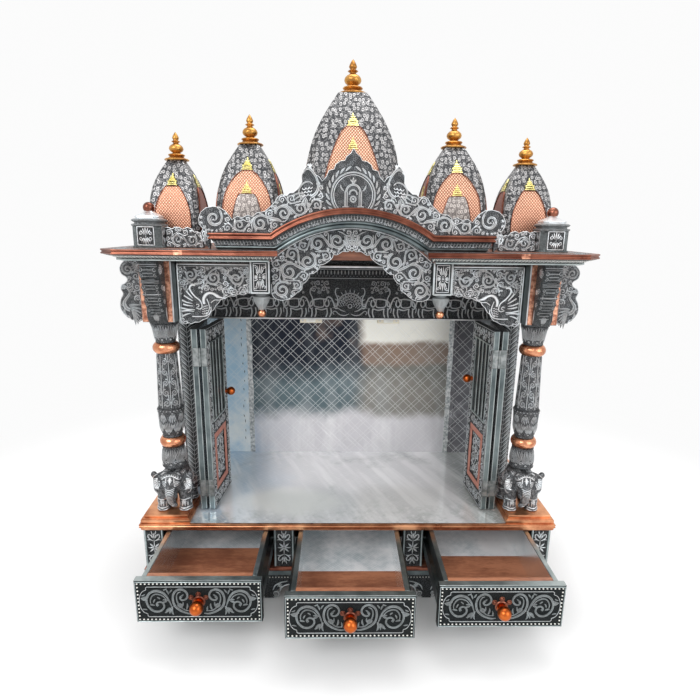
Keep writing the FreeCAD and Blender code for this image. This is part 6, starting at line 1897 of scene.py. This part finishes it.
for index in range(4):
    ears += ring(*local(0.365, 0.66), (0.135 - 0.028 * index) * elephant["wide"], 0.0008, 14, -1.9, 3.6)
ears += fan(*local(0.30, 0.72), -0.7, 0.021, 5, 1.6, 0.07)
ears += worn([(0.27, 0.86), (0.37, 0.88), (0.465, 0.80), (0.485, 0.66), (0.45, 0.50), (0.38, 0.44)], 0.0011)
for z in (0.035, 0.085, 0.29):
    legs += worn([(0.14, z + 0.008), (0.27, z - 0.006), (0.40, z + 0.008)], 0.0011)
for x in (0.175, 0.237, 0.299, 0.361):
    legs += dot(*local(x, 0.020), 0.0019) + leaf(*local(x, 0.12), upward, 0.011, 0.0016, 0, 3)
legs += rosette(*local(0.27, 0.225), 0.0058, 8, 0.22)
harness = [engrave(brow + bothSides(ears + legs), draped((0, 1, 0)), 0.0022, 0.0010)]
for inset, weight in ((0, 1.4), (4, 1.0)):
    blanket += penned([(30 + inset, 304.5 - inset), (29 + inset, 272), (32 + inset, 262.5 + inset), (55, 259 + inset),
                       (80 - inset, 262.5 + inset), (83 - inset, 274), (80 - inset, 302.5 - inset)], weight)
blanket += rosette(0.056, 0.283, 0.0105, 8, 0.2) + ring(0.056, 0.283, 0.0125, 0.0007, 18)
for index in range(12):
    blanket += leaf(0.033 + index * 0.0042, 0.2605, -upward, 0.0065, 0.0013, 0, 3)
for u, v in ((0.038, 0.298), (0.074, 0.297), (0.038, 0.269), (0.074, 0.269)):
    blanket += rosette(u, v, 0.0045, 5, 0.26)
for u in (0.0276, 0.0754):
    for v in (0.2195, 0.2245, 0.244):
        blanket += stroke([(u - 0.012, v + 0.001), (u, v - 0.001), (u + 0.012, v + 0.001)], 0.0011)
    blanket += rosette(u, 0.2345, 0.005, 7, 0.24)
harness += [engrave(blanket, draped((way, 0, 0)), 0.0020, 0.0010) for way in (-1, 1)]
fit("elephant_bodies", withMirror(beast), beastSheet, stands="elephants", tone=0.06)
fit("elephant_harness", withMirror(joinAll("harness", harness)))
print("elephants made")


# Studio: floor, light and the photograph's camera

studio = {"floor": 12.0, "floorColour": (0.92, 0.92, 0.92), "sky": 0.92, "paper": 0.97, "key": 40.0, "fill": 22.0,
          "top": 27.0, "fadeFrom": 0.75, "fadeTo": 1.6}

deselect()
bpy.ops.mesh.primitive_plane_add(size=studio["floor"], location=(0, 0, -0.0005))
floor = bpy.context.object
floor.name = "floor"
bpy.ops.object.transform_apply(location=True)


def paper(place):
    return {"Base Color": noise(place, 3.0, 2.0).mix(studio["floorColour"], (0.93, 0.93, 0.93)), "Roughness": 0.85}


paperFinish = finish("pale floor", paper)
paperTree = paperFinish.node_tree
underFoot = Wire(paperTree).make("TexCoord", take=3)
away = underFoot.make("VectorMath", {"operation": "LENGTH"}, take=1, i0=underFoot)
glow = away.make("Emission", Color=(studio["paper"],) * 3, Strength=1.0)
surface = Wire(paperTree, paperTree.nodes["Principled BSDF"].outputs[0])
seen = away.make("MixShader", i0=away.step(studio["fadeFrom"], studio["fadeTo"]), i1=surface, i2=glow)
paperTree.links.new(seen.socket, paperTree.nodes["Material Output"].inputs["Surface"])
dress(floor, paperFinish)

world = bpy.data.worlds.new("studio")
bpy.context.scene.world = world
world.use_nodes = True
worldTree = world.node_tree
background = worldTree.nodes["Background"]
rays = [Wire(worldTree).make("LightPath", take=ray) for ray in (0, 3, 6)]  # camera, glossy and transmission rays
strength = sum(rays, 0.0).maths("MINIMUM", 1.0) * (studio["paper"] - studio["sky"]) + studio["sky"]
worldTree.links.new(strength.socket, background.inputs["Strength"])
background.inputs["Color"].default_value = (1.0, 1.0, 1.0, 1)


def lamp(name, location, target, size, power):
    light = bpy.data.lights.new(name, "AREA")
    light.shape = "RECTANGLE"
    light.size, light.size_y = size
    light.energy = power
    holder = newObject(name, light)
    holder.location = location
    holder.rotation_euler = (Vector(target) - Vector(location)).to_track_quat("-Z", "Y").to_euler()
    return holder


lamp("key", (-1.4, -2.2, 2.2), (0, 0, 0.5), (1.3, 1.3), studio["key"])
lamp("fill", (1.9, -1.9, 1.3), (0, 0, 0.5), (1.6, 1.6), studio["fill"])
lamp("top", (0.2, 0.3, 2.8), (0, 0, 0.4), (1.6, 1.2), studio["top"])

shot = {"x": -0.022844, "behindDeckFront": -0.98738, "aboveDeck": 0.63152, "yaw": 0.020627, "pitch": 0.23654,
        "roll": 0.012429, "lens": 26.02, "sensor": 36.0}
sight = Vector((math.sin(shot["yaw"]) * math.cos(shot["pitch"]), math.cos(shot["yaw"]) * math.cos(shot["pitch"]),
                -math.sin(shot["pitch"])))
level = Vector((math.cos(shot["yaw"]), -math.sin(shot["yaw"]), 0))
upright = level.cross(sight)
c, s = math.cos(shot["roll"]), math.sin(shot["roll"])
right, up = level * c + upright * s, upright * c - level * s
lens = bpy.data.cameras.new("camera")
lens.sensor_width = shot["sensor"]
lens.lens = shot["lens"]
lens.clip_start, lens.clip_end = 0.05, 60
camera = newObject("camera", lens)
turn = Matrix((right, up, -sight)).transposed().to_4x4()
camera.matrix_world = Matrix.Translation((shot["x"], frontY + shot["behindDeckFront"],
                                          deckTop + shot["aboveDeck"])) @ turn
bpy.context.scene.camera = camera
bpy.context.scene.view_settings.view_transform = "Standard"
print("studio set")
